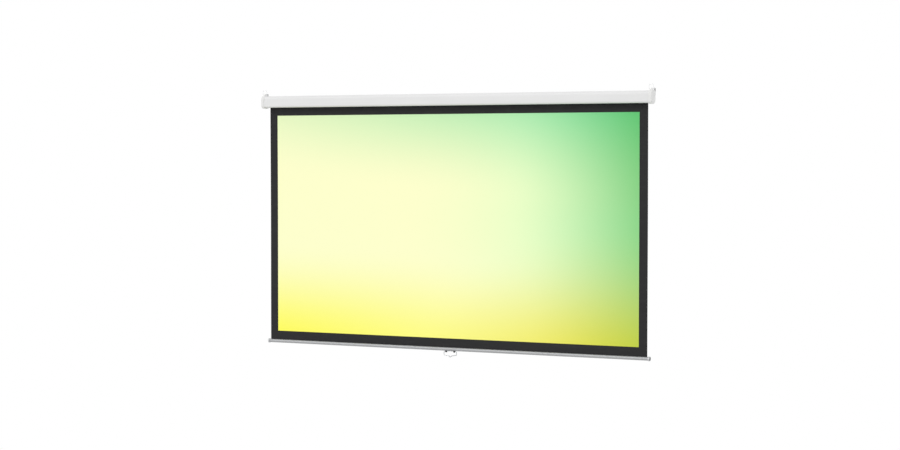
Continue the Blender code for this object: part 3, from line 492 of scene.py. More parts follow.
class Skin:
    """Points, faces and map places that become a mesh."""

    def __init__(self, points, faces, places=None):
        self.points = np.asarray(points, float).reshape(-1, 3)
        self.faces = [list(face) for face in faces]
        self.places = np.zeros((len(self.points), 2)) if places is None else np.asarray(places).reshape(-1, 2)

    def __add__(self, other):
        moved = [[index + len(self.points) for index in face] for face in other.faces]
        return Skin(
            np.vstack([self.points, other.points]),
            self.faces + moved,
            np.vstack([self.places, other.places]),
        )


def grid_faces(rows, columns):
    """Quads between neighbouring points of a grid."""
    index = np.arange(rows * columns).reshape(rows, columns)
    corners = (index[:-1, :-1], index[1:, :-1], index[1:, 1:], index[:-1, 1:])
    return np.stack(corners, axis=-1).reshape(-1, 4).tolist()


def grid_skin(points):
    """A skin on a grid of points; its map runs 0 to 1 along each side of the grid."""
    rows, columns = points.shape[:2]
    along, across = np.meshgrid(np.linspace(0, 1, rows), np.linspace(0, 1, columns), indexing="ij")
    return Skin(points, grid_faces(rows, columns), np.stack([along, across], axis=-1))


def closed_loop(loop):
    """The loop with its first point again at its end, so that a grid on it closes."""
    return np.concatenate([loop, loop[:1]])


def stood(flat, level, axis):
    """Flat points (u, v) placed at a level along X, or along Y."""
    flat = np.asarray(flat)
    level = np.full(len(flat), level)
    order = (level, flat[:, 0], flat[:, 1]) if axis == "x" else (flat[:, 0], level, flat[:, 1])
    return np.column_stack(order)


def extruded(loops, low, high, axis="x"):
    """A straight bar: its outline, and the outlines of its holes, carried from one level to another."""
    skin = Skin(np.zeros((0, 3)), [])
    for loop in loops:
        ring = closed_loop(loop)
        skin += grid_skin(np.stack([stood(ring, low, axis), stood(ring, high, axis)]))
    flat = np.vstack(loops)
    triangles = tessellate_polygon([np.pad(loop, ((0, 0), (0, 1))).tolist() for loop in loops])
    for level in (low, high):
        skin += Skin(stood(flat, level, axis), triangles)
    return skin


def capped(rows):
    """A skin on rings of points, closed round each ring, with a face over each end."""
    rows = np.array(rows)
    skin = grid_skin(np.concatenate([rows, rows[:, :1]], axis=1))
    for end in (rows[0], rows[-1]):
        skin += Skin(end, [range(len(end))])
    return skin


def softened(outline, low, high, soft_low, soft_high):
    """A bar along X with rounded end edges.

    At angle a of an edge's arc, radius s, the outline moves in by s (1 - sin a), s (1 - cos a) from the end.
    """
    angles = np.linspace(0, np.pi / 2, SOFT_STEPS + 1)
    steps = [(low, soft_low, a) for a in angles] + [(high, -soft_high, a) for a in angles[::-1]]
    return capped(
        [stood(outline(abs(s) * (1 - math.sin(a))), end + s * (1 - math.cos(a)), "x") for end, s, a in steps]
    )


def cylinder(low, high, radius):
    """The profile of a plain cylinder."""
    return [(low, 0), (low, radius), (high, radius), (high, 0)]


def turned(profile, axis, at, steps=ROUND_STEPS):
    """A profile of (along, radius) carried round an axis.

    A point is at + along * axis + radius * (cos t * first + sin t * second).
    """
    axis = np.array(axis, float)
    first = np.array((0.0, 0.0, 1.0)) if abs(axis[2]) < 0.5 else np.array((0.0, 1.0, 0.0))
    second = np.cross(axis, first)
    profile = np.array(profile, float)
    angles = np.linspace(0, 2 * np.pi, steps + 1)
    out = np.cos(angles)[:, None] * first + np.sin(angles)[:, None] * second
    along, radius = profile[:, 0, None, None], profile[:, 1, None, None]
    return grid_skin(np.array(at, float) + along * axis + radius * out)


def wire(path, radius, at, closed=False, steps=20):
    """A round wire along a path in the X-Z plane.

    Its points are at centre + r (cos t * side + sin t * Y), with side square to the path. An open wire's ends
    are drawn in to a point over half a radius. The map runs along it in metres.
    """
    if closed:
        ahead = np.roll(path, -1, axis=0) - np.roll(path, 1, axis=0)
        path, ahead = closed_loop(path), closed_loop(ahead)
        radii = np.full(len(path), radius)
    else:
        ahead = np.gradient(path, axis=0)
        first, last = ahead[0] / np.linalg.norm(ahead[0]), ahead[-1] / np.linalg.norm(ahead[-1])
        angles = np.linspace(0, np.pi / 2, SOFT_STEPS)
        rise = radius / 2 * (1 - np.cos(angles))[:, None]
        path = np.vstack([path[0] + first * rise, path[1:-1], path[-1] - last * rise[::-1]])
        radii = np.concatenate([radius * np.sin(angles), np.full(len(path) - 2 * SOFT_STEPS, radius),
                                radius * np.sin(angles[::-1])])
        ahead = np.vstack([np.tile(first, (SOFT_STEPS, 1)), ahead[1:-1], np.tile(last, (SOFT_STEPS, 1))])
    ahead = ahead / np.linalg.norm(ahead, axis=1)[:, None]
    side = stood(np.column_stack([-ahead[:, 1], ahead[:, 0]]), 0.0, "y")
    centre = stood(path, 0.0, "y") + np.array(at)
    angles = np.linspace(0, 2 * np.pi, steps + 1)
    cos, sin = np.cos(angles)[None, :, None], np.sin(angles)[None, :, None]
    across = cos * side[:, None, :] + sin * np.array(REAR_AXIS)
    skin = grid_skin(centre[:, None, :] + radii[:, None, None] * across)
    gone = np.concatenate([[0.0], np.cumsum(np.linalg.norm(np.diff(path, axis=0), axis=1))])
    skin.places = np.stack(np.meshgrid(gone, angles / (2 * np.pi), indexing="ij"), axis=-1).reshape(-1, 2)
    return skin


def blade(at, axis, across):
    """A tapered box that cuts one arm of a screw's recess, from just above the crown down to its depth."""
    axis, across = np.array(axis, float), np.array(across, float)
    other = np.cross(axis, across)
    signs = np.array([(-1, -1), (1, -1), (1, 1), (-1, 1)], float)
    rows = []
    for depths, share in BLADE_ENDS:
        flat = signs * (RECESS_WIDTH / 2 * share, RECESS_LENGTH / 2 * share)
        rows.append(np.array(at) + RECESS_DEPTH * depths * axis + flat[:, :1] * across + flat[:, 1:] * other)
    return capped(rows)


# Objects


def mirrored(skin, side):
    """The skin as it is for the right side, or with X turned round for the left."""
    return Skin(skin.points * (side, 1, 1), skin.faces, skin.places)


def as_mesh(name, skin):
    """A mesh with the skin's seams and poles merged, then its faces turned outwards."""
    mesh = bpy.data.meshes.new(name)
    mesh.from_pydata(skin.points.tolist(), [], skin.faces)
    places = mesh.uv_layers.new(name="surface")
    corners = np.empty(len(mesh.loops), np.int32)
    mesh.loops.foreach_get("vertex_index", corners)
    places.uv.foreach_set("vector", skin.places[corners].astype(np.float32).ravel())
    shape = bmesh.new()
    shape.from_mesh(mesh)
    bmesh.ops.remove_doubles(shape, verts=shape.verts, dist=1e-6)
    bmesh.ops.recalc_face_normals(shape, faces=shape.faces)
    shape.to_mesh(mesh)
    shape.free()
    return mesh


def placed(name, data):
    """An object in the scene; one of the same name that an earlier run left is removed."""
    former = bpy.data.objects.get(name)
    if former:
        bpy.data.objects.remove(former)
    item = bpy.data.objects.new(name, data)
    bpy.context.scene.collection.objects.link(item)
    return item


def new_object(name, skin):
    return placed(name, as_mesh(name, skin))


def work_in(item):
    """Replaces the piece's mesh by the one that its modifiers make of it."""
    bpy.context.view_layer.update()
    graph = bpy.context.evaluated_depsgraph_get()
    made = bpy.data.meshes.new_from_object(item.evaluated_get(graph))
    item.modifiers.clear()
    plain = item.data
    item.data = made
    made.name = item.name
    bpy.data.meshes.remove(plain)


def combine(item, skins, operation):
    """Joins the skins to the piece, or cuts them out of it."""
    tools = [new_object(f"{item.name}_tool_{i}", skin) for i, skin in enumerate(skins)]
    for tool in tools:
        modifier = item.modifiers.new(tool.name, "BOOLEAN")
        modifier.operation = operation
        modifier.solver = "EXACT"
        modifier.object = tool
    work_in(item)
    for tool in tools:
        mesh = tool.data
        bpy.data.objects.remove(tool)
        bpy.data.meshes.remove(mesh)


def soften(item, width):
    """Rounds the piece's sharp edges, with two faces to each."""
    modifier = item.modifiers.new("edges", "BEVEL")
    modifier.width = width
    modifier.segments = 2
    modifier.limit_method = "ANGLE"
    modifier.angle_limit = math.radians(SHARP_ANGLE)
    modifier.use_clamp_overlap = True
    work_in(item)


def finish_piece(item, look, body, nodes, angle=SHARP_ANGLE):
    """Shades the piece, dresses it and hangs it on its body in place of the nodes."""
    item.data.shade_smooth()
    item.data.set_sharp_from_angle(angle=math.radians(angle))
    item.data.materials.clear()
    item.data.materials.append(look)
    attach(item, body)
    if nodes:
        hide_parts(*nodes)


# Node maths


def worked(operation, turned_round=False):
    """A method that adds a Math node on the value and its other terms; turned round, the value comes last."""

    def method(self, *others):
        terms = (*others, self) if turned_round else (self, *others)
        return self.nodes.node("ShaderNodeMath", {"operation": operation}, dict(enumerate(terms)))

    return method


class Value:
    """A socket that can be reckoned with: each operator adds one Math node."""

    def __init__(self, nodes, socket):
        self.nodes = nodes
        self.socket = socket

    __add__ = __radd__ = worked("ADD")
    __sub__ = worked("SUBTRACT")
    __rsub__ = worked("SUBTRACT", turned_round=True)
    __mul__ = worked("MULTIPLY")
    __truediv__ = worked("DIVIDE")
    __pow__ = worked("POWER")
    __gt__ = worked("GREATER_THAN")
    __lt__ = worked("LESS_THAN")
    __abs__ = worked("ABSOLUTE")
    sine = worked("SINE")

    def clamped(self):
        return self.nodes.node("ShaderNodeClamp", {}, {0: self})

    def smooth(self, low, high):
        """0 below low, 1 above high, and a smooth step between."""
        settings = {"interpolation_type": "SMOOTHSTEP"}
        return self.nodes.node("ShaderNodeMapRange", settings, {0: self, 1: low, 2: high, 3: 0.0, 4: 1.0})


class Nodes:
    """The nodes of one material or of the world."""

    def __init__(self, owner):
        owner.use_nodes = True
        self.owner = owner
        self.tree = owner.node_tree
        self.tree.nodes.clear()

    def node(self, kind, settings, sockets, output=0):
        """A node of this type, with its settings made first and then its sockets set or linked."""
        made = self.tree.nodes.new(kind)
        for name, value in settings.items():
            setattr(made, name, value)
        for name, value in sockets.items():
            if isinstance(value, Value):
                self.tree.links.new(value.socket, made.inputs[name])
            else:
                made.inputs[name].default_value = value
        return Value(self, made.outputs[output])

    def place(self):
        """Where a point of the piece is, in metres in the frame."""
        return self.node("ShaderNodeTexCoord", {}, {}, "Object")

    def own_map(self):
        """Where a point is on its surface's own map."""
        return self.node("ShaderNodeTexCoord", {}, {}, "UV")

    def parts(self, vector):
        """The three numbers of a vector."""
        split = self.node("ShaderNodeSeparateXYZ", {}, {0: vector}).socket.node
        return [Value(self, split.outputs[i]) for i in range(3)]

    def noise(self, vector, scale, detail, roughness=0.5):
        sockets = {"Vector": vector, "Scale": scale, "Detail": detail, "Roughness": roughness}
        return self.node("ShaderNodeTexNoise", {}, sockets)

    def streaks(self, vector, scales, *terms):
        """Noise whose marks are longer along the axes with the smaller scales."""
        return self.noise(self.node("ShaderNodeMapping", {}, {"Vector": vector, "Scale": scales}), *terms)

    def cells(self, vector, scale):
        return self.node("ShaderNodeTexVoronoi", {}, {"Vector": vector, "Scale": scale})

    def mix(self, share, first, second):
        """A colour between two others."""
        sockets = {0: share, 6: opaque(first), 7: opaque(second)}
        return self.node("ShaderNodeMix", {"data_type": "RGBA"}, sockets, 2)

    def tones(self, share, colour, low, high=1.0):
        """A colour between two levels of itself."""
        return self.mix(share, shaded(colour, low), shaded(colour, high))

    def rubbed(self, where, axes, scale):
        """Where edges are rubbed, broken up by noise.

        An edge is where the normal's part n along an axis makes 4 n^2 (1 - n^2) large, as on a rounded rim.
        """
        faced = dict(zip("xyz", self.parts(self.node("ShaderNodeTexCoord", {}, {}, "Normal"))))
        turning = [faced[axis] * faced[axis] * (1 - faced[axis] * faced[axis]) * 4 for axis in axes]
        return sum(turning).clamped() * self.noise(where, scale, 4.0, 0.6).smooth(0.42, 0.68)

    def principled(self, base, roughness, metallic=0.0, bump=None, **constants):
        """The shader; bump is its height, strength and distance."""
        sockets = {"Base Color": opaque(base), "Roughness": roughness, "Metallic": metallic}
        if bump:
            bumped = dict(zip(("Height", "Strength", "Distance"), bump))
            sockets["Normal"] = self.node("ShaderNodeBump", {}, bumped)
        sockets |= {name.replace("_", " "): value for name, value in constants.items()}
        return self.node("ShaderNodeBsdfPrincipled", {}, sockets)

    def show(self, shader, kind="ShaderNodeOutputMaterial"):
        self.tree.links.new(shader.socket, self.tree.nodes.new(kind).inputs["Surface"])

    def dressed(self, *terms, **constants):
        """The material, once it shows a shader of these terms."""
        self.show(self.principled(*terms, **constants))
        return self.owner


def opaque(colour):
    """A plain colour with its alpha, or a linked one as it is."""
    return colour if isinstance(colour, Value) else (*tuple(colour)[:3], 1.0)


def shaded(colour, share):
    """A colour made darker or lighter by a share."""
    return tuple(min(1.0, channel * share) for channel in tuple(colour)[:3])


def new_look(name):
    """The emptied nodes of the material of this name, and where a point of its piece is."""
    nodes = Nodes(bpy.data.materials.get(name) or bpy.data.materials.new(name))
    return nodes, nodes.place()


def colours():
    return bpy.context.scene.screen_colours


def sizes():
    return bpy.context.scene.screen_sizes


def white_powder_coat():
    """Satin powder coat: soft orange peel, a little unevenness in tone and gloss."""
    nodes, where = new_look("white_powder_coat")
    peel = nodes.noise(where, 1 / sizes().peel_size, 1.5)
    grain = nodes.noise(where, 4 / sizes().peel_size, 2.0)
    drift = nodes.streaks(where, (1, 6, 6), 3.0, 3.0)
    white = colours().case_white
    rubbed = nodes.rubbed(where, "z", 70.0)
    base = nodes.tones(drift.smooth(0.3, 0.7), white, 0.985, 1.015)
    base = nodes.mix(rubbed * 0.5, base, shaded(white, 0.95))
    gloss = 0.42 + peel * 0.08 + drift * 0.05 - rubbed * 0.08
    return nodes.dressed(base, gloss, bump=(peel * 0.8 + grain * 0.2, 0.25, 0.00012), Specular_IOR_Level=0.4)


def white_cap_plastic():
    """Moulded plastic: fine spark-eroded grain, slightly warmer and duller than the coat."""
    nodes, where = new_look("white_cap_plastic")
    grain = nodes.noise(where, 1900.0, 2.0)
    pits = nodes.cells(where, 1300.0)
    drift = nodes.noise(where, 28.0, 3.0)
    white = colours().cap_white
    rubbed = nodes.rubbed(where, "x", 110.0)
    base = nodes.tones(drift.smooth(0.35, 0.7), white, 0.98)
    base = nodes.mix(rubbed * 0.5, base, shaded(white, 0.94))
    rough = 0.46 + grain * 0.12 - rubbed * 0.12
    return nodes.dressed(base, rough, bump=(grain * 0.6 + pits * 0.4, 0.3, 0.00008), Specular_IOR_Level=0.35)


def wire_look(name, colour, dull):
    """Plated wire: drawn lines along its length and faint clouding of the plate."""
    nodes, where = new_look(name)
    drawn = nodes.streaks(nodes.own_map(), (18, 26, 1), 1.0, 3.0)
    cloud = nodes.noise(where, 160.0, 3.0)
    base = nodes.tones(cloud.smooth(0.3, 0.75), colour, 0.9)
    return nodes.dressed(base, dull + drawn * 0.1 + cloud * 0.06, 1.0, (drawn, 0.15, 0.00006))


def nickel_wire():
    return wire_look("nickel_wire", colours().bail, 0.2)


def bright_loop_wire():
    return wire_look("bright_loop_wire", colours().loop, 0.16)


def oiled_spring_steel():
    """Dark drawn steel under a film of oil, with straw-coloured heat tint in places."""
    nodes, where = new_look("oiled_spring_steel")
    cloud = nodes.noise(where, 90.0, 4.0)
    drawn = nodes.streaks(where, (300, 2000, 2000), 1.0, 2.0)
    steel = colours().spring
    tint = (steel[0] * 1.15, steel[1], steel[2] * 0.8)
    base = nodes.mix(cloud.smooth(0.45, 0.75), steel, tint)
    rough = 0.24 + cloud * 0.2
    return nodes.dressed(base, rough, 1.0, (drawn, 0.12, 0.00005), Coat_Weight=0.4, Coat_Roughness=0.12)


def zinc_plate():
    """Bright zinc: crystal facets of slightly unlike tone, with a faint blue passivation."""
    nodes, where = new_look("zinc_plate")
    facets = nodes.cells(where, 380.0)
    cloud = nodes.noise(where, 45.0, 4.0)
    zinc = colours().zinc
    blue = (zinc[0] * 0.88, zinc[1] * 0.93, zinc[2])
    base = nodes.mix((facets * 0.6 + cloud * 0.5).smooth(0.2, 0.8), blue, zinc)
    rubbed = nodes.rubbed(where, "x", 300.0)
    base = nodes.mix(rubbed * 0.6, base, shaded(zinc, 1.25))
    scratches = nodes.streaks(where, (900, 120, 900), 1.0, 2.0)
    return nodes.dressed(base, 0.26 + cloud * 0.18 - rubbed * 0.1, 0.95, (scratches, 0.1, 0.00004))


def dark_zinc():
    """Dark chromate on zinc: cloudy, with a rolled grain, rubbed brighter in places."""
    nodes, where = new_look("dark_zinc")
    rolled = nodes.streaks(where, (1400, 1400, 160), 1.0, 2.0)
    cloud = nodes.noise(where, 120.0, 4.0)
    handled = nodes.noise(where, 260.0, 4.0, 0.6).smooth(0.6, 0.8)
    rubbed = (handled + nodes.rubbed(where, "xyz", 400.0)).clamped()
    dark = colours().tab
    base = nodes.tones(cloud.smooth(0.3, 0.7), dark, 0.85, 1.1)
    base = nodes.mix(rubbed * 0.4, base, shaded(dark, 1.9))
    return nodes.dressed(base, 0.42 + rolled * 0.08 - rubbed * 0.08, 0.8, (rolled, 0.2, 0.00005))


def dipped_bracket():
    """A plated saddle whose ears are dipped in dark plastic, with an uneven edge to the dip."""
    nodes, where = new_look("dipped_bracket")
    x, _, z = nodes.parts(where)
    wander = nodes.noise(where, 320.0, 2.0) * 0.0008
    edge, level = EAR_MIDDLE - EAR_HALF_WIDTH, BAR_Z - SADDLE_INNER * DIP_SHARE
    ears = abs(x).smooth(edge - 0.0008, edge - 0.0004)
    dip = (z + wander).smooth(level + 0.0004, level - 0.0002) * ears
    facets = nodes.cells(where, 420.0)
    cloud = nodes.noise(where, 60.0, 4.0)
    grain = nodes.noise(where, 1500.0, 2.0)
    plate = nodes.tones((facets * 0.5 + cloud * 0.5).smooth(0.2, 0.8), colours().saddle, 0.9)
    coat = nodes.tones(cloud.smooth(0.3, 0.7), colours().ear, 0.88)
    rubbed = nodes.rubbed(where, "x", 350.0)
    base = nodes.mix(dip, plate, nodes.mix(rubbed * 0.6, coat, shaded(colours().ear, 1.9)))
    rough = 0.32 + dip * 0.18 + grain * 0.06 - rubbed * 0.08
    return nodes.dressed(base, rough, 0.85 - dip * 0.85, (grain, 0.25, 0.00007))


def anodised_silver():
    """Satin anodised tube: fine die lines along its length, part metal and part milky oxide."""
    nodes, where = new_look("anodised_silver")
    lines = nodes.streaks(where, (1.5, 2600, 2600), 1.0, 2.0)
    drift = nodes.streaks(where, (1, 30, 30), 5.0, 3.0)
    silver = colours().silver
    handled = nodes.streaks(where, (30, 90, 90), 1.0, 4.0, 0.6).smooth(0.55, 0.8)
    base = nodes.tones((lines * 0.7 + drift * 0.3).smooth(0.3, 0.7), silver, 0.93, 1.03)
    base = nodes.mix(handled * 0.4, base, shaded(silver, 0.86))
    rough = 0.44 + lines * 0.1 + drift * 0.06 + handled * 0.1
    return nodes.dressed(base, rough, 0.6, (lines, 0.18, 0.00005))


def bar_cap_plastic():
    """Silver-grey collar round a darker end disc, moulded with a fine grain; the collar's lighter tone is a
    painted highlight and the disc's darker tone is painted shade of the end face.
    """
    nodes, where = new_look("bar_cap_plastic")
    x, y, z = nodes.parts(where)
    reach = ((y - SHEET_Y) ** 2.0 + (z - BAR_Z) ** 2.0) ** 0.5
    # Painted shade: the end disc is darkened as the end face in shade, and the collar keeps a lighter painted
    # highlight
    rim = reach.smooth(BAR_CAP_RADIUS - 0.0016, BAR_CAP_RADIUS - 0.0004)
    disc = abs(x).smooth(BAR_CAP_HIGH.x - 0.0012, BAR_CAP_HIGH.x - 0.0006) * (1 - rim)
    grain = nodes.noise(where, 1700.0, 2.0)
    cloud = nodes.noise(where, 70.0, 3.0)
    collar = nodes.tones(cloud.smooth(0.3, 0.7), colours().collar, 0.95)
    rubbed = nodes.rubbed(where, "x", 300.0) * (1 - disc)
    end = nodes.tones(cloud.smooth(0.3, 0.7), colours().disc, 0.93)
    base = nodes.mix(rubbed * 0.5, nodes.mix(disc, collar, end), shaded(colours().collar, 0.8))
    return nodes.dressed(base, 0.38 + grain * 0.1 - rubbed * 0.08, 0.35 - disc * 0.35, (grain, 0.25, 0.00007))


def plastic_look(name, colour, roughness, grain_scale):
    """Plain moulded plastic with a fine grain and faint flow marks."""
    nodes, where = new_look(name)
    grain = nodes.noise(where, grain_scale, 2.0)
    flow = nodes.streaks(where, (1, 3, 3), 60.0, 4.0)
    rubbed = nodes.rubbed(where, "x", 260.0)
    base = nodes.tones(flow.smooth(0.3, 0.75), colour, 0.9, 1.05)
    base = nodes.mix(rubbed * 0.4, base, shaded(colour, 1.5))
    return nodes.dressed(base, roughness + grain * 0.1 - rubbed * 0.08, bump=(grain, 0.25, 0.00008))


def natural_nylon():
    return plastic_look("natural_nylon", colours().nylon, 0.38, 900.0)


def black_plug_plastic():
    return plastic_look("black_plug_plastic", colours().plug, 0.45, 1500.0)


def painted_projector_light(nodes, across, up):
    """The projector's light, painted as a plain gradient: cream, with lobes of other colours laid over it one
    after the other.

    A lobe's share is one minus the squared distance from its centre, never below 0, to a power. across and up
    run 0 to 1 over the picture area.
    """
    colour = opaque(colours().cream)
    for name, (u, v, wide, high) in PROJECTED_LIGHT_LOBES.items():
        nearness = 1 - (((across - u) / wide) ** 2.0 + ((up - v) / high) ** 2.0)
        colour = nodes.mix(nearness.clamped() ** LOBE_POWER, colour, opaque(getattr(colours(), name)))
    return colour


def vinyl_bump(nodes, across, down, where):
    """A bump of the pressed weave, the product of two sines at the weave's pitch, with a little noise."""
    turn = 2 * math.pi / sizes().weave_pitch
    weave = (across * (SHEET_WIDTH * turn)).sine() * (down * (SHEET_LENGTH * turn)).sine()
    return weave * 0.5 + nodes.noise(where, 1400.0, 2.0), 0.2, 0.00006


def picture_vinyl():
    """The sheet: a matt picture area, where the projector's light is painted into the colour, in a black
    border, and a black back.

    Its map runs 0 to 1 across, and 0 to 1 down the front; the back lies from 2 to 3.
    """
    nodes, where = new_look("picture_vinyl")
    across, down, _ = nodes.parts(nodes.own_map())
    margin = (SHEET_WIDTH - PICTURE_WIDTH) / 2 / SHEET_WIDTH
    top = (SHEET_TOP - PICTURE_TOP) / SHEET_LENGTH
    height = PICTURE_HEIGHT / SHEET_LENGTH
    side, bottom = 0.5 - margin, top + height
    inside = abs(across - 0.5).smooth(side + BLUR_ACROSS, side - BLUR_ACROSS)
    inside = inside * down.smooth(top - BLUR_DOWN, top + BLUR_DOWN)
    inside = inside * down.smooth(bottom + BLUR_DOWN, bottom - BLUR_DOWN)
    # Painted projector light: the projected picture laid into the base colour
    picture = painted_projector_light(nodes, (across - margin) / (1 - 2 * margin), 1 - (down - top) / height)
    scuffs = nodes.streaks(where, (2, 1, 9), 5.0, 4.0, 0.6).smooth(0.45, 0.8)
    hem = abs(across - 0.5).smooth(0.4994, 0.4999) * nodes.noise(where, 500.0, 3.0, 0.6).smooth(0.4, 0.65)
    black = nodes.tones(scuffs * 0.5, colours().border, 1.0, 1.35)
    black = nodes.mix(hem * 0.6, black, shaded(colours().border, 3.0))
    rear = nodes.tones(scuffs * 0.6, colours().sheet_back, 1.0, 1.4)
    base = nodes.mix(down > 1.5, nodes.mix(inside, black, picture), rear)
    rough = 0.86 - scuffs * 0.06 - (down > 1.5) * 0.2
    bump = vinyl_bump(nodes, across, down, where)
    return nodes.dressed(base, rough, bump=bump, Specular_IOR_Level=0.25)


def rolled_vinyl():
    """The turns that stay on the roller: black both sides, with faint set lines along the tube."""
    nodes, where = new_look("rolled_vinyl")
    across, along, _ = nodes.parts(nodes.own_map())
    scuffs = nodes.streaks(where, (2, 40, 40), 4.0, 4.0, 0.6).smooth(0.4, 0.8)
    black = colours().border
    base = nodes.tones(scuffs * 0.6, black, 1.0, 1.4)
    bump = vinyl_bump(nodes, across, along, where)
    return nodes.dressed(base, 0.8 - scuffs * 0.1, bump=bump, Specular_IOR_Level=0.25)


# Pieces


def screw_skin(at, axis, sizes_of_head, flat):
    """A screw's outside as a turned profile, its head towards the axis and its seat at the place.

    A pan head's crown rises as the root of a cosine; the shank ends in a blunt cone.
    """
    head_radius, head_height, length = sizes_of_head
    if flat:
        top = 0.0
        edge = [(0.0, head_radius - HEAD_EDGE), (-HEAD_EDGE / 2, head_radius)]
        head = [(0.0, 0.0), *edge, (-head_height, SCREW_RADIUS)]
    else:
        top = head_height
        angles = np.linspace(CROWN_START, np.pi / 2, SOFT_STEPS)
        crown = np.column_stack([top * np.cos(angles) ** CROWN_POWER, head_radius * np.sin(angles)])
        head = [(top, 0.0), *crown.tolist(), (0.0, head_radius - HEAD_EDGE / 2), (0.0, SCREW_RADIUS)]
    shank = [(-length + 2 * SCREW_RADIUS, SCREW_RADIUS), (-length, SCREW_RADIUS / 3), (-length, 0.0)]
    return turned([*head, *shank], axis, at, steps=40), top


def make_screw(name, at, axis, sizes_of_head, body, flat=False):
    """A whole screw: two blades square to each other cut the cross recess into its crown."""
    skin, top = screw_skin(at, axis, sizes_of_head, flat)
    item = new_object(f"{name}_head", skin)
    crown = np.array(at) + top * np.array(axis)
    across = np.array((0.0, 0.0, 1.0)) if abs(axis[2]) < 0.5 else np.array(X_AXIS)
    arms = [blade(crown, axis, arm) for arm in (across, np.cross(axis, across))]
    combine(item, arms, "DIFFERENCE")
    finish_piece(item, zinc_plate(), body, [name], angle=40)


def drill_skin(at_y, at_z):
    """A cutter for a cap screw: its clearance hole, its head's counterbore and a chamfer at the mouth."""
    wide, narrow = CAP_SCREW[0] + FIT, SCREW_RADIUS + FIT
    start, face, end = CAP_LOW.x - WELL_PAST, CAP_HIGH.x, CAP_HIGH.x + WELL_PAST
    mouth = wide + BORE_CHAMFER + PAST
    profile = [
        (start, 0), (start, narrow), (CAP_SCREW_SEAT, narrow), (CAP_SCREW_SEAT, wide),
        (face - BORE_CHAMFER, wide), (face + PAST, mouth), (end, mouth), (end, 0),
    ]
    return turned(profile, X_AXIS, (0, at_y, at_z))


class ScreenOperator(bpy.types.Operator):
    """What every builder of this screen shares"""

    bl_options = {"REGISTER", "UNDO"}

    def execute(self, context):
        self.build()
        return {"FINISHED"}


class PROJECTORSCREEN_OT_case(ScreenOperator):
    """Builds the long white case: one formed wall with its lips and screw ports, carried along X"""

    bl_idname = "projector_screen.case"
    bl_label = "Case"

    def build(self):
        inner = case_path(CASE_WALL)
        bores = []
        for centre in port_places():
            inner = round_port(inner, centre)
            bores.append(circle(PORT_BORE, *centre, steps=24))
        outline = np.vstack([case_path(0.0), inner[::-1]])
        item = new_object("case_profile", extruded([outline, *bores], CASE_LOW.x, CASE_HIGH.x))
        finish_piece(item, white_powder_coat(), "case", ["case_shell"])


class PROJECTORSCREEN_OT_end_caps(ScreenOperator):
    """Builds the moulded end caps with their lugs, seats, counterbores and tab recesses"""

    bl_idname = "projector_screen.end_caps"
    bl_label = "End caps"

    def build(self):
        for name, side in SIDES:
            shell = softened(cap_outline, CAP_LOW.x, CAP_HIGH.x, CAP_RIM_SOFTNESS, sizes().cap_softness)
            item = new_object(f"end_cap_{name}_moulding", mirrored(shell, side))
            half = LUG_WIDTH / 2
            lug = softened(lug_outline, LUG_X - half, LUG_X + half, LUG_SOFTNESS, LUG_SOFTNESS)
            combine(item, [mirrored(lug, side)], "UNION")
            combine(item, [mirrored(skin, side) for skin in self.cutters()], "DIFFERENCE")
            finish_piece(item, white_cap_plastic(), "case", [f"end_cap_{name}"], angle=30)

    def cutters(self):
        """What is cut out of a right-hand cap."""
        low_y, low_z = TAB_LOW.y - FIT, TAB_LOW.z - FIT
        corners = np.array(
            [(low_y, low_z), (WELL_PAST, low_z), (WELL_PAST, TAB_RECESS_TOP), (low_y, TAB_RECESS_TOP)]
        )
        pocket = cylinder(CAP_LOW.x - WELL_PAST, CAP_POCKET_END, CAP_POCKET_RADIUS)
        hole = cylinder(-TAB_SCREW[2] - FIT, DRILL_PAST, SCREW_RADIUS + FIT)
        pivot = cylinder(LUG_X - WELL_PAST, LUG_X + WELL_PAST, LOOP_WIRE_RADIUS + FIT)
        return [
            extruded([seat_outline()], CAP_LOW.x - WELL_PAST, CAP_FLOOR),
            turned(pocket, X_AXIS, (0, ROLLER_Y, 0)),
            *[drill_skin(y, z) for y, z in port_places()],
            extruded([corners], TAB_LOW.x - FIT, CAP_HIGH.x + RECESS_PAST),
            turned(hole, REAR_AXIS, (TAB_X, TAB_LOW.y, TAB_SCREW_Z), steps=32),
            turned(pivot, X_AXIS, (0, ROLLER_Y, LOOP_PIVOT_Z), steps=32),
        ]


class PROJECTORSCREEN_OT_wall_tabs(ScreenOperator):
    """Builds the dark steel tabs behind the caps that take the wall screws"""

    bl_idname = "projector_screen.wall_tabs"
    bl_label = "Wall tabs"

    def build(self):
        radii = (TAB_FOOT_RADIUS, TAB_CORNER_RADIUS, TAB_CORNER_RADIUS, TAB_FOOT_RADIUS)
        outline = rounded_box(TAB_LOW.xz, TAB_HIGH.xz, radii)
        bore = circle(SCREW_RADIUS + FIT, TAB_X, TAB_SCREW_Z, steps=40)
        loops = [outline, circle(TAB_HOLE_RADIUS, TAB_X, TAB_HOLE_Z), bore]
        wide, deep = TAB_SCREW[0] + FIT, -TAB_SCREW[1] - FIT
        sink = [(SINK_PAST, 0), (SINK_PAST, wide + FIT), (0, wide), (deep, SCREW_RADIUS), (deep, 0)]
        for name, side in SIDES:
            plate = extruded(loops, TAB_LOW.y, TAB_HIGH.y, axis="y")
            item = new_object(f"wall_tab_{name}_plate", mirrored(plate, side))
            cutter = turned(sink, REAR_AXIS, (TAB_X, TAB_HIGH.y, TAB_SCREW_Z), steps=40)
            combine(item, [mirrored(cutter, side)], "DIFFERENCE")
            soften(item, TAB_SOFTNESS)
            finish_piece(item, dark_zinc(), "case", [f"wall_tab_{name}"])


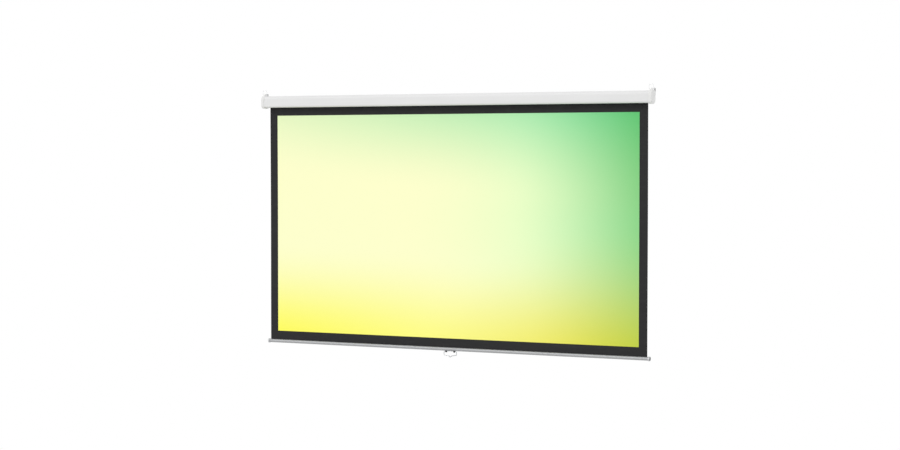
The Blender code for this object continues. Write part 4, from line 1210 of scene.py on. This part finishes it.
class PROJECTORSCREEN_OT_screws(ScreenOperator):
    """Builds the screws of the caps, the wall tabs and the bail's bracket"""

    bl_idname = "projector_screen.screws"
    bl_label = "Screws"

    def build(self):
        for name, side in SIDES:
            for (y, z), level in zip(port_places(), LEVELS):
                seat = (side * (CAP_SCREW_SEAT + FIT), y, z)
                make_screw(f"cap_screw_{name}_{level}", seat, (side, 0, 0), CAP_SCREW, "case")
            seat = (side * TAB_X, TAB_HIGH.y - FIT, TAB_SCREW_Z)
            make_screw(f"tab_screw_{name}", seat, REAR_AXIS, TAB_SCREW, "case", flat=True)
            seat = (side * SADDLE_SCREW_X, SHEET_Y, BAR_Z - SADDLE_OUTER - FIT)
            make_screw(f"bracket_screw_{name}", seat, DOWN_AXIS, BRACKET_SCREW, "weight_bar")


class PROJECTORSCREEN_OT_hanging_loops(ScreenOperator):
    """Builds the wire loops that turn in the caps' lugs"""

    bl_idname = "projector_screen.hanging_loops"
    bl_label = "Hanging loops"

    def build(self):
        half, foot, top = LOOP_HALF_WIDTH, (0, LOOP_FOOT_RADIUS), (LOOP_HEIGHT, LOOP_TOP_RADIUS)
        path = rounded_path([(-half, *foot), (half, *foot), (half, *top), (-half, *top)])
        for name, side in SIDES:
            skin = wire(path, LOOP_WIRE_RADIUS, (side * LUG_X, ROLLER_Y, LOOP_PIVOT_Z), closed=True)
            item = new_object(f"hanging_loop_{name}_wire", skin)
            finish_piece(item, bright_loop_wire(), f"loop_{name}", [f"hanging_loop_{name}"])


class PROJECTORSCREEN_OT_roll(ScreenOperator):
    """Builds the turns of sheet that stay on the roller, as one spiral"""

    bl_idname = "projector_screen.roll"
    bl_label = "Turns on the roller"

    def build(self):
        """The spiral's radius falls evenly with its angle, by one pitch a turn, in to the tube."""
        inner = TUBE_RADIUS + SHEET_THICKNESS / 2 + FIT / 4
        outer = inner + WRAP_TURNS * WRAP_PITCH
        turn = np.linspace(0, 2 * np.pi * WRAP_TURNS, WRAP_TURNS * TURN_STEPS + 1)
        middle = outer - (outer - inner) * turn / turn[-1]
        half = SHEET_THICKNESS / 2
        faces = [spun((middle + half, 0.0), turn), spun((middle - half, 0.0), turn)[::-1]]
        loop = np.vstack(faces) + (ROLLER_Y, 0)
        ring = closed_loop(loop)
        columns = np.linspace(SHEET_LOW.x, SHEET_HIGH.x, 3)
        skin = grid_skin(np.array([stood(ring, x, "x") for x in columns]))
        count = len(turn)
        first = np.arange(count - 1)
        strip = np.column_stack([first, first + 1, 2 * count - 2 - first, 2 * count - 1 - first]).tolist()
        for x in (columns[0], columns[-1]):
            skin += Skin(stood(loop, x, "x"), strip)
        item = new_object("sheet_turns", skin)
        finish_piece(item, rolled_vinyl(), "roller", ["sheet_wraps"])
        length = float(np.sum(middle[1:] + middle[:-1]) / 2 * (turn[1] - turn[0]))


class PROJECTORSCREEN_OT_sheet(ScreenOperator):
    """Builds the hanging sheet, a thin closed skin with a front, a back and edges"""

    bl_idname = "projector_screen.sheet"
    bl_label = "Hanging sheet"

    def build(self):
        """It starts a little below the roll, which turns past it, and its foot goes with the bar."""
        look = picture_vinyl()
        knee = 1 - SHEET_FOOT / SHEET_LENGTH
        foot = new_object("sheet_foot", self.skin(np.linspace(knee, 1, 3)))
        finish_piece(foot, look, "weight_bar", [], angle=50)
        item = new_object("hanging_sheet", self.skin(np.linspace(0, knee, SHEET_ROWS + 1)))
        finish_piece(item, look, "case", ["screen_sheet"], angle=50)
        kept = 1 - BAR_TRAVEL / (SHEET_LENGTH - SHEET_FOOT)
        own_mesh(item)

    def skin(self, down):
        """Depth is wave * sin * sin plus an edge curl that dies away inwards, both held flat at slot and bar.

        down holds the rows' shares of the sheet's length; the back's map lies two up from the front's.
        """
        u, v = np.meshgrid(np.linspace(0, 1, SHEET_COLUMNS + 1), down, indexing="ij")
        free = np.clip((v - SHEET_FREE_FROM) / SHEET_FREE_SHARE, 0, 1)
        held = np.sin(np.pi * free) ** HOLD_POWER
        ripple = np.sin(2 * np.pi * WAVES_ACROSS * u + WAVE_START_ACROSS)
        wave = sizes().wave_depth * ripple * np.sin(2 * np.pi * WAVES_DOWN * v + WAVE_START_DOWN)
        edge = np.minimum(u, 1 - u) * SHEET_WIDTH
        curl = sizes().edge_curl * np.exp(-((edge / sizes().curl_width) ** 2))
        y = SHEET_Y + (wave + curl) * held
        x = SHEET_LOW.x + SHEET_WIDTH * u
        z = SHEET_TOP - SHEET_LENGTH * v
        half = SHEET_THICKNESS / 2
        front = np.stack([x, y - half, z], axis=-1)
        back = np.stack([x, y + half, z], axis=-1)
        faces = [grid_skin(front), grid_skin(back)]
        for level, face in zip((0, 2), faces):
            face.places[:, 1] = v.ravel() + level
        skin = faces[0] + faces[1]
        for line in (np.s_[:, 0], np.s_[:, -1], np.s_[0, :], np.s_[-1, :]):
            edge_skin = grid_skin(np.stack([front[line], back[line]]))
            edge_skin.places[:] = EDGE_PLACE
            skin += edge_skin
        return skin


class PROJECTORSCREEN_OT_weight_bar(ScreenOperator):
    """Builds the slotted weight bar and its end caps"""

    bl_idname = "projector_screen.weight_bar"
    bl_label = "Weight bar"

    def build(self):
        half_slot = math.asin(BAR_SLOT / 2 / BAR_RADIUS)
        sweep = 2 * math.pi - 2 * half_slot
        outline = ring_part(BAR_RADIUS - BAR_WALL, BAR_RADIUS, math.pi / 2 + half_slot, sweep, steps=96)
        tube = extruded([outline + (SHEET_Y, BAR_Z)], TUBE_LOW.x, TUBE_HIGH.x)
        item = new_object("bar_profile", tube)
        finish_piece(item, anodised_silver(), "weight_bar", ["bar_tube"])
        for name, side in SIDES:
            skin = turned(self.cap_profile(), (side, 0, 0), (0, SHEET_Y, BAR_Z))
            item = new_object(f"bar_cap_{name}_moulding", skin)
            finish_piece(item, bar_cap_plastic(), "weight_bar", [f"bar_cap_{name}"])

    def cap_profile(self):
        """A cap's profile: a sunk disc, a groove round it, a rounded rim, the collar and the bore behind."""
        far, near = BAR_CAP_HIGH.x, BAR_CAP_LOW.x
        edge, radius, disc = BAR_CAP_EDGE_RADIUS, BAR_CAP_RADIUS, BAR_CAP_DISC_RADIUS
        sunk, step, bore = far - BAR_CAP_DISC_SINK, BAR_CAP_GROOVE_STEP, BAR_RADIUS + FIT
        floor, bottom = sunk - BAR_CAP_GROOVE_DEPTH, far - BAR_CAP_WALL
        angles = np.linspace(0, np.pi / 2, SOFT_STEPS + 1)
        rim = np.column_stack([far - edge * (1 - np.cos(angles)), radius - edge * (1 - np.sin(angles))])
        return [
            (sunk, 0), (sunk, disc - 3 * step), (floor, disc - 2 * step), (floor, disc - step),
            (far - BAR_CAP_LIP, disc), (far, disc + BAR_CAP_LIP), *rim.tolist(),
            (near + BAR_CAP_CHAMFER, radius), (near, radius - BAR_CAP_CHAMFER),
            (near, bore + BAR_CAP_LEAD_IN), (near + BAR_CAP_LEAD_IN, bore), (bottom, bore), (bottom, 0),
        ]


class PROJECTORSCREEN_OT_bail(ScreenOperator):
    """Builds the bent wire bail and the bracket that it turns in"""

    bl_idname = "projector_screen.bail"
    bl_label = "Bail and bracket"

    def build(self):
        self.build_bracket()
        inner = EAR_MIDDLE - EAR_HALF_WIDTH - FIT
        left = [(-x, z, radius) for x, z, radius in BAIL_BENDS]
        corners = [(-inner, 0, 0), *left, BAIL_DIP, *BAIL_BENDS[::-1], (inner, 0, 0)]
        path = rounded_path(corners, closed=False, steps=10)
        skin = wire(path, BAIL_WIRE_RADIUS, (0, SHEET_Y, BAR_Z - BAIL_DROP), steps=28)
        item = new_object("bail_wire", skin)
        finish_piece(item, nickel_wire(), "bail", ["bail_handle"], angle=50)

    def build_bracket(self):
        """The saddle is part of a ring under the bar, with an ear at each end."""
        start = -math.pi / 2 - SADDLE_ARC / 2
        arc = ring_part(SADDLE_INNER, SADDLE_OUTER, start, SADDLE_ARC, steps=40)
        saddle = extruded([arc + (SHEET_Y, BAR_Z)], -SADDLE_HALF_LENGTH, SADDLE_HALF_LENGTH)
        item = new_object("bail_bracket_pressing", saddle)
        low, high = EAR_MIDDLE - EAR_HALF_WIDTH, EAR_MIDDLE + EAR_HALF_WIDTH
        ear = softened(ear_outline, low, high, EAR_SOFTNESS, EAR_SOFTNESS)
        combine(item, [mirrored(ear, side) for _, side in SIDES], "UNION")
        through = cylinder(-BAIL_BORE_REACH, BAIL_BORE_REACH, BAIL_WIRE_RADIUS + FIT)
        drill = cylinder(0, SADDLE_DRILL_REACH, SCREW_RADIUS + FIT)
        cutters = [turned(through, X_AXIS, (0, SHEET_Y, BAR_Z - BAIL_DROP), steps=40)]
        for _, side in SIDES:
            cutters.append(turned(drill, DOWN_AXIS, (side * SADDLE_SCREW_X, SHEET_Y, BAR_Z), steps=24))
        combine(item, cutters, "DIFFERENCE")
        soften(item, SADDLE_SOFTNESS)
        finish_piece(item, dipped_bracket(), "weight_bar", ["bail_bracket"])


class PROJECTORSCREEN_OT_inner_parts(ScreenOperator):
    """Dresses the roller, the spring motor and what else stays as it is in the frame"""

    bl_idname = "projector_screen.inner_parts"
    bl_label = "Inner parts"

    def build(self):
        looks = {
            "zinc_steel": zinc_plate,
            "spring_steel": oiled_spring_steel,
            "nylon": natural_nylon,
            "black_plastic": black_plug_plastic,
        }
        slots = {part["node"]: part["material_slot"] for part in frame["record"]["subparts"]}
        for name, node in frame["nodes"].items():
            if node.hide_render:
                continue
            if slots[name] not in looks:
                raise RuntimeError(f"{name} is shown and no finish is set for {slots[name]}")
            node.data.materials.clear()
            node.data.materials.append(looks[slots[name]]())


class PROJECTORSCREEN_OT_stage(ScreenOperator):
    """Sets the floor, the lamps, the world and the camera"""

    bl_idname = "projector_screen.stage"
    bl_label = "Stage"

    def build(self):
        levels = bpy.context.scene.stage_levels
        self.make_floor(levels)
        for name, (towards, softness) in LAMPS.items():
            self.make_lamp(f"{name}_lamp", getattr(levels, name), towards, softness)
        self.make_world(levels)
        self.make_camera()
        bpy.context.scene.view_settings.view_transform = "Standard"

    def make_floor(self, levels):
        """A round floor on a polar grid, clear from below and fading to white beyond its reach."""
        reach = np.linspace(0, FLOOR_REACHES * levels.floor_reach, FLOOR_RINGS + 1)[:, None]
        angles = np.linspace(0, 2 * np.pi, FLOOR_SPOKES + 1)[None, :]
        flat = np.stack([reach * np.cos(angles), reach * np.sin(angles)], axis=-1)
        points = np.concatenate([flat, np.full((*flat.shape[:2], 1), levels.floor_z)], axis=-1)
        floor = new_object("floor", grid_skin(points))
        nodes, where = new_look("pale_floor")
        x, y, _ = nodes.parts(where)
        away = (x**2.0 + y**2.0) ** 0.5
        paint = nodes.noise(where, 40.0, 3.0)
        base = nodes.mix(paint, shaded(colours().floor, 0.995), colours().floor)
        plain = nodes.principled(base, 0.9, Specular_IOR_Level=0.0)
        white = nodes.node("ShaderNodeEmission", {}, {"Color": (1, 1, 1, 1), "Strength": 1.0})
        seen = self.seen_rays(nodes)
        fade = away.smooth(levels.floor_reach * FADE_START, levels.floor_reach) * seen
        faded = nodes.node("ShaderNodeMixShader", {}, {0: fade, 1: plain, 2: white})
        clear = nodes.node("ShaderNodeBsdfTransparent", {}, {})
        _, _, rise = nodes.parts(nodes.node("ShaderNodeNewGeometry", {}, {}, "Incoming"))
        nodes.show(nodes.node("ShaderNodeMixShader", {}, {0: rise < 0.0, 1: faded, 2: clear}))
        floor.data.materials.append(nodes.owner)

    def seen_rays(self, nodes):
        """1 for rays that show the background: straight, mirrored or passed on."""
        path = nodes.node("ShaderNodeLightPath", {}, {}).socket.node
        rays = [Value(nodes, path.outputs[f"Is {kind} Ray"]) for kind in ("Camera", "Glossy", "Transmission")]
        return (rays[0] + rays[1] + rays[2]).clamped()

    def make_lamp(self, name, share, towards, softness):
        """A sun that lights a surface facing it to this share of white; white takes a strength of pi."""
        lamp = bpy.data.lights.new(name, "SUN")
        lamp.energy = math.pi * share
        lamp.angle = math.radians(softness)
        placed(name, lamp).rotation_euler = Vector(towards).to_track_quat("Z", "Y").to_euler()

    def make_world(self, levels):
        """White where it is seen, and at its own level where it lights the screen."""
        world = bpy.data.worlds.get("plain_world") or bpy.data.worlds.new("plain_world")
        nodes = Nodes(world)
        strength = self.seen_rays(nodes) * (1 - levels.world) + levels.world
        sockets = {"Color": (1, 1, 1, 1), "Strength": strength}
        nodes.show(nodes.node("ShaderNodeBackground", {}, sockets), "ShaderNodeOutputWorld")
        bpy.context.scene.world = world

    def make_camera(self):
        """The photograph's view, from the screen's right and looking a little down."""
        camera = bpy.data.cameras.new("camera")
        camera.sensor_width = 36
        camera.sensor_fit = "HORIZONTAL"
        camera.lens = CAMERA_LENS
        camera.clip_end = 100
        item = placed("camera", camera)
        turn = (
            Matrix.Rotation(math.radians(CAMERA_TURN), 4, "Z")
            @ Matrix.Rotation(math.radians(90 - CAMERA_DIP), 4, "X")
            @ Matrix.Rotation(math.radians(CAMERA_ROLL), 4, "Z")
        )
        item.matrix_world = Matrix.Translation(CAMERA_PLACE) @ turn
        bpy.context.scene.camera = item


BUILDERS = (
    PROJECTORSCREEN_OT_case,
    PROJECTORSCREEN_OT_end_caps,
    PROJECTORSCREEN_OT_wall_tabs,
    PROJECTORSCREEN_OT_screws,
    PROJECTORSCREEN_OT_hanging_loops,
    PROJECTORSCREEN_OT_roll,
    PROJECTORSCREEN_OT_sheet,
    PROJECTORSCREEN_OT_weight_bar,
    PROJECTORSCREEN_OT_bail,
    PROJECTORSCREEN_OT_inner_parts,
    PROJECTORSCREEN_OT_stage,
)


class PROJECTORSCREEN_PT_panel(bpy.types.Panel):
    """Lists the screen's builders with their sizes, colours and levels"""

    bl_label = "Projector screen"
    bl_idname = "PROJECTORSCREEN_PT_panel"
    bl_space_type = "VIEW_3D"
    bl_region_type = "UI"
    bl_category = "Projector screen"

    def draw(self, context):
        column = self.layout.column()
        for builder in BUILDERS:
            column.operator(builder.bl_idname)
        for group in (context.scene.screen_sizes, context.scene.screen_colours, context.scene.stage_levels):
            box = self.layout.box()
            for name in group.__annotations__:
                box.prop(group, name)


GROUPS = {"screen_sizes": ScreenSizes, "screen_colours": ScreenColours, "stage_levels": StageLevels}
CLASSES = (*GROUPS.values(), *BUILDERS, PROJECTORSCREEN_PT_panel)


def register():
    for item in CLASSES:
        bpy.utils.register_class(item)
    for name, group in GROUPS.items():
        setattr(bpy.types.Scene, name, PointerProperty(type=group))


def unregister():
    for name in GROUPS:
        delattr(bpy.types.Scene, name)
    for item in reversed(CLASSES):
        bpy.utils.unregister_class(item)


def main():
    register()
    for builder in BUILDERS:
        name = builder.bl_idname.split(".")[1]
        getattr(bpy.ops.projector_screen, name)()


if __name__ == "__main__":
    main()
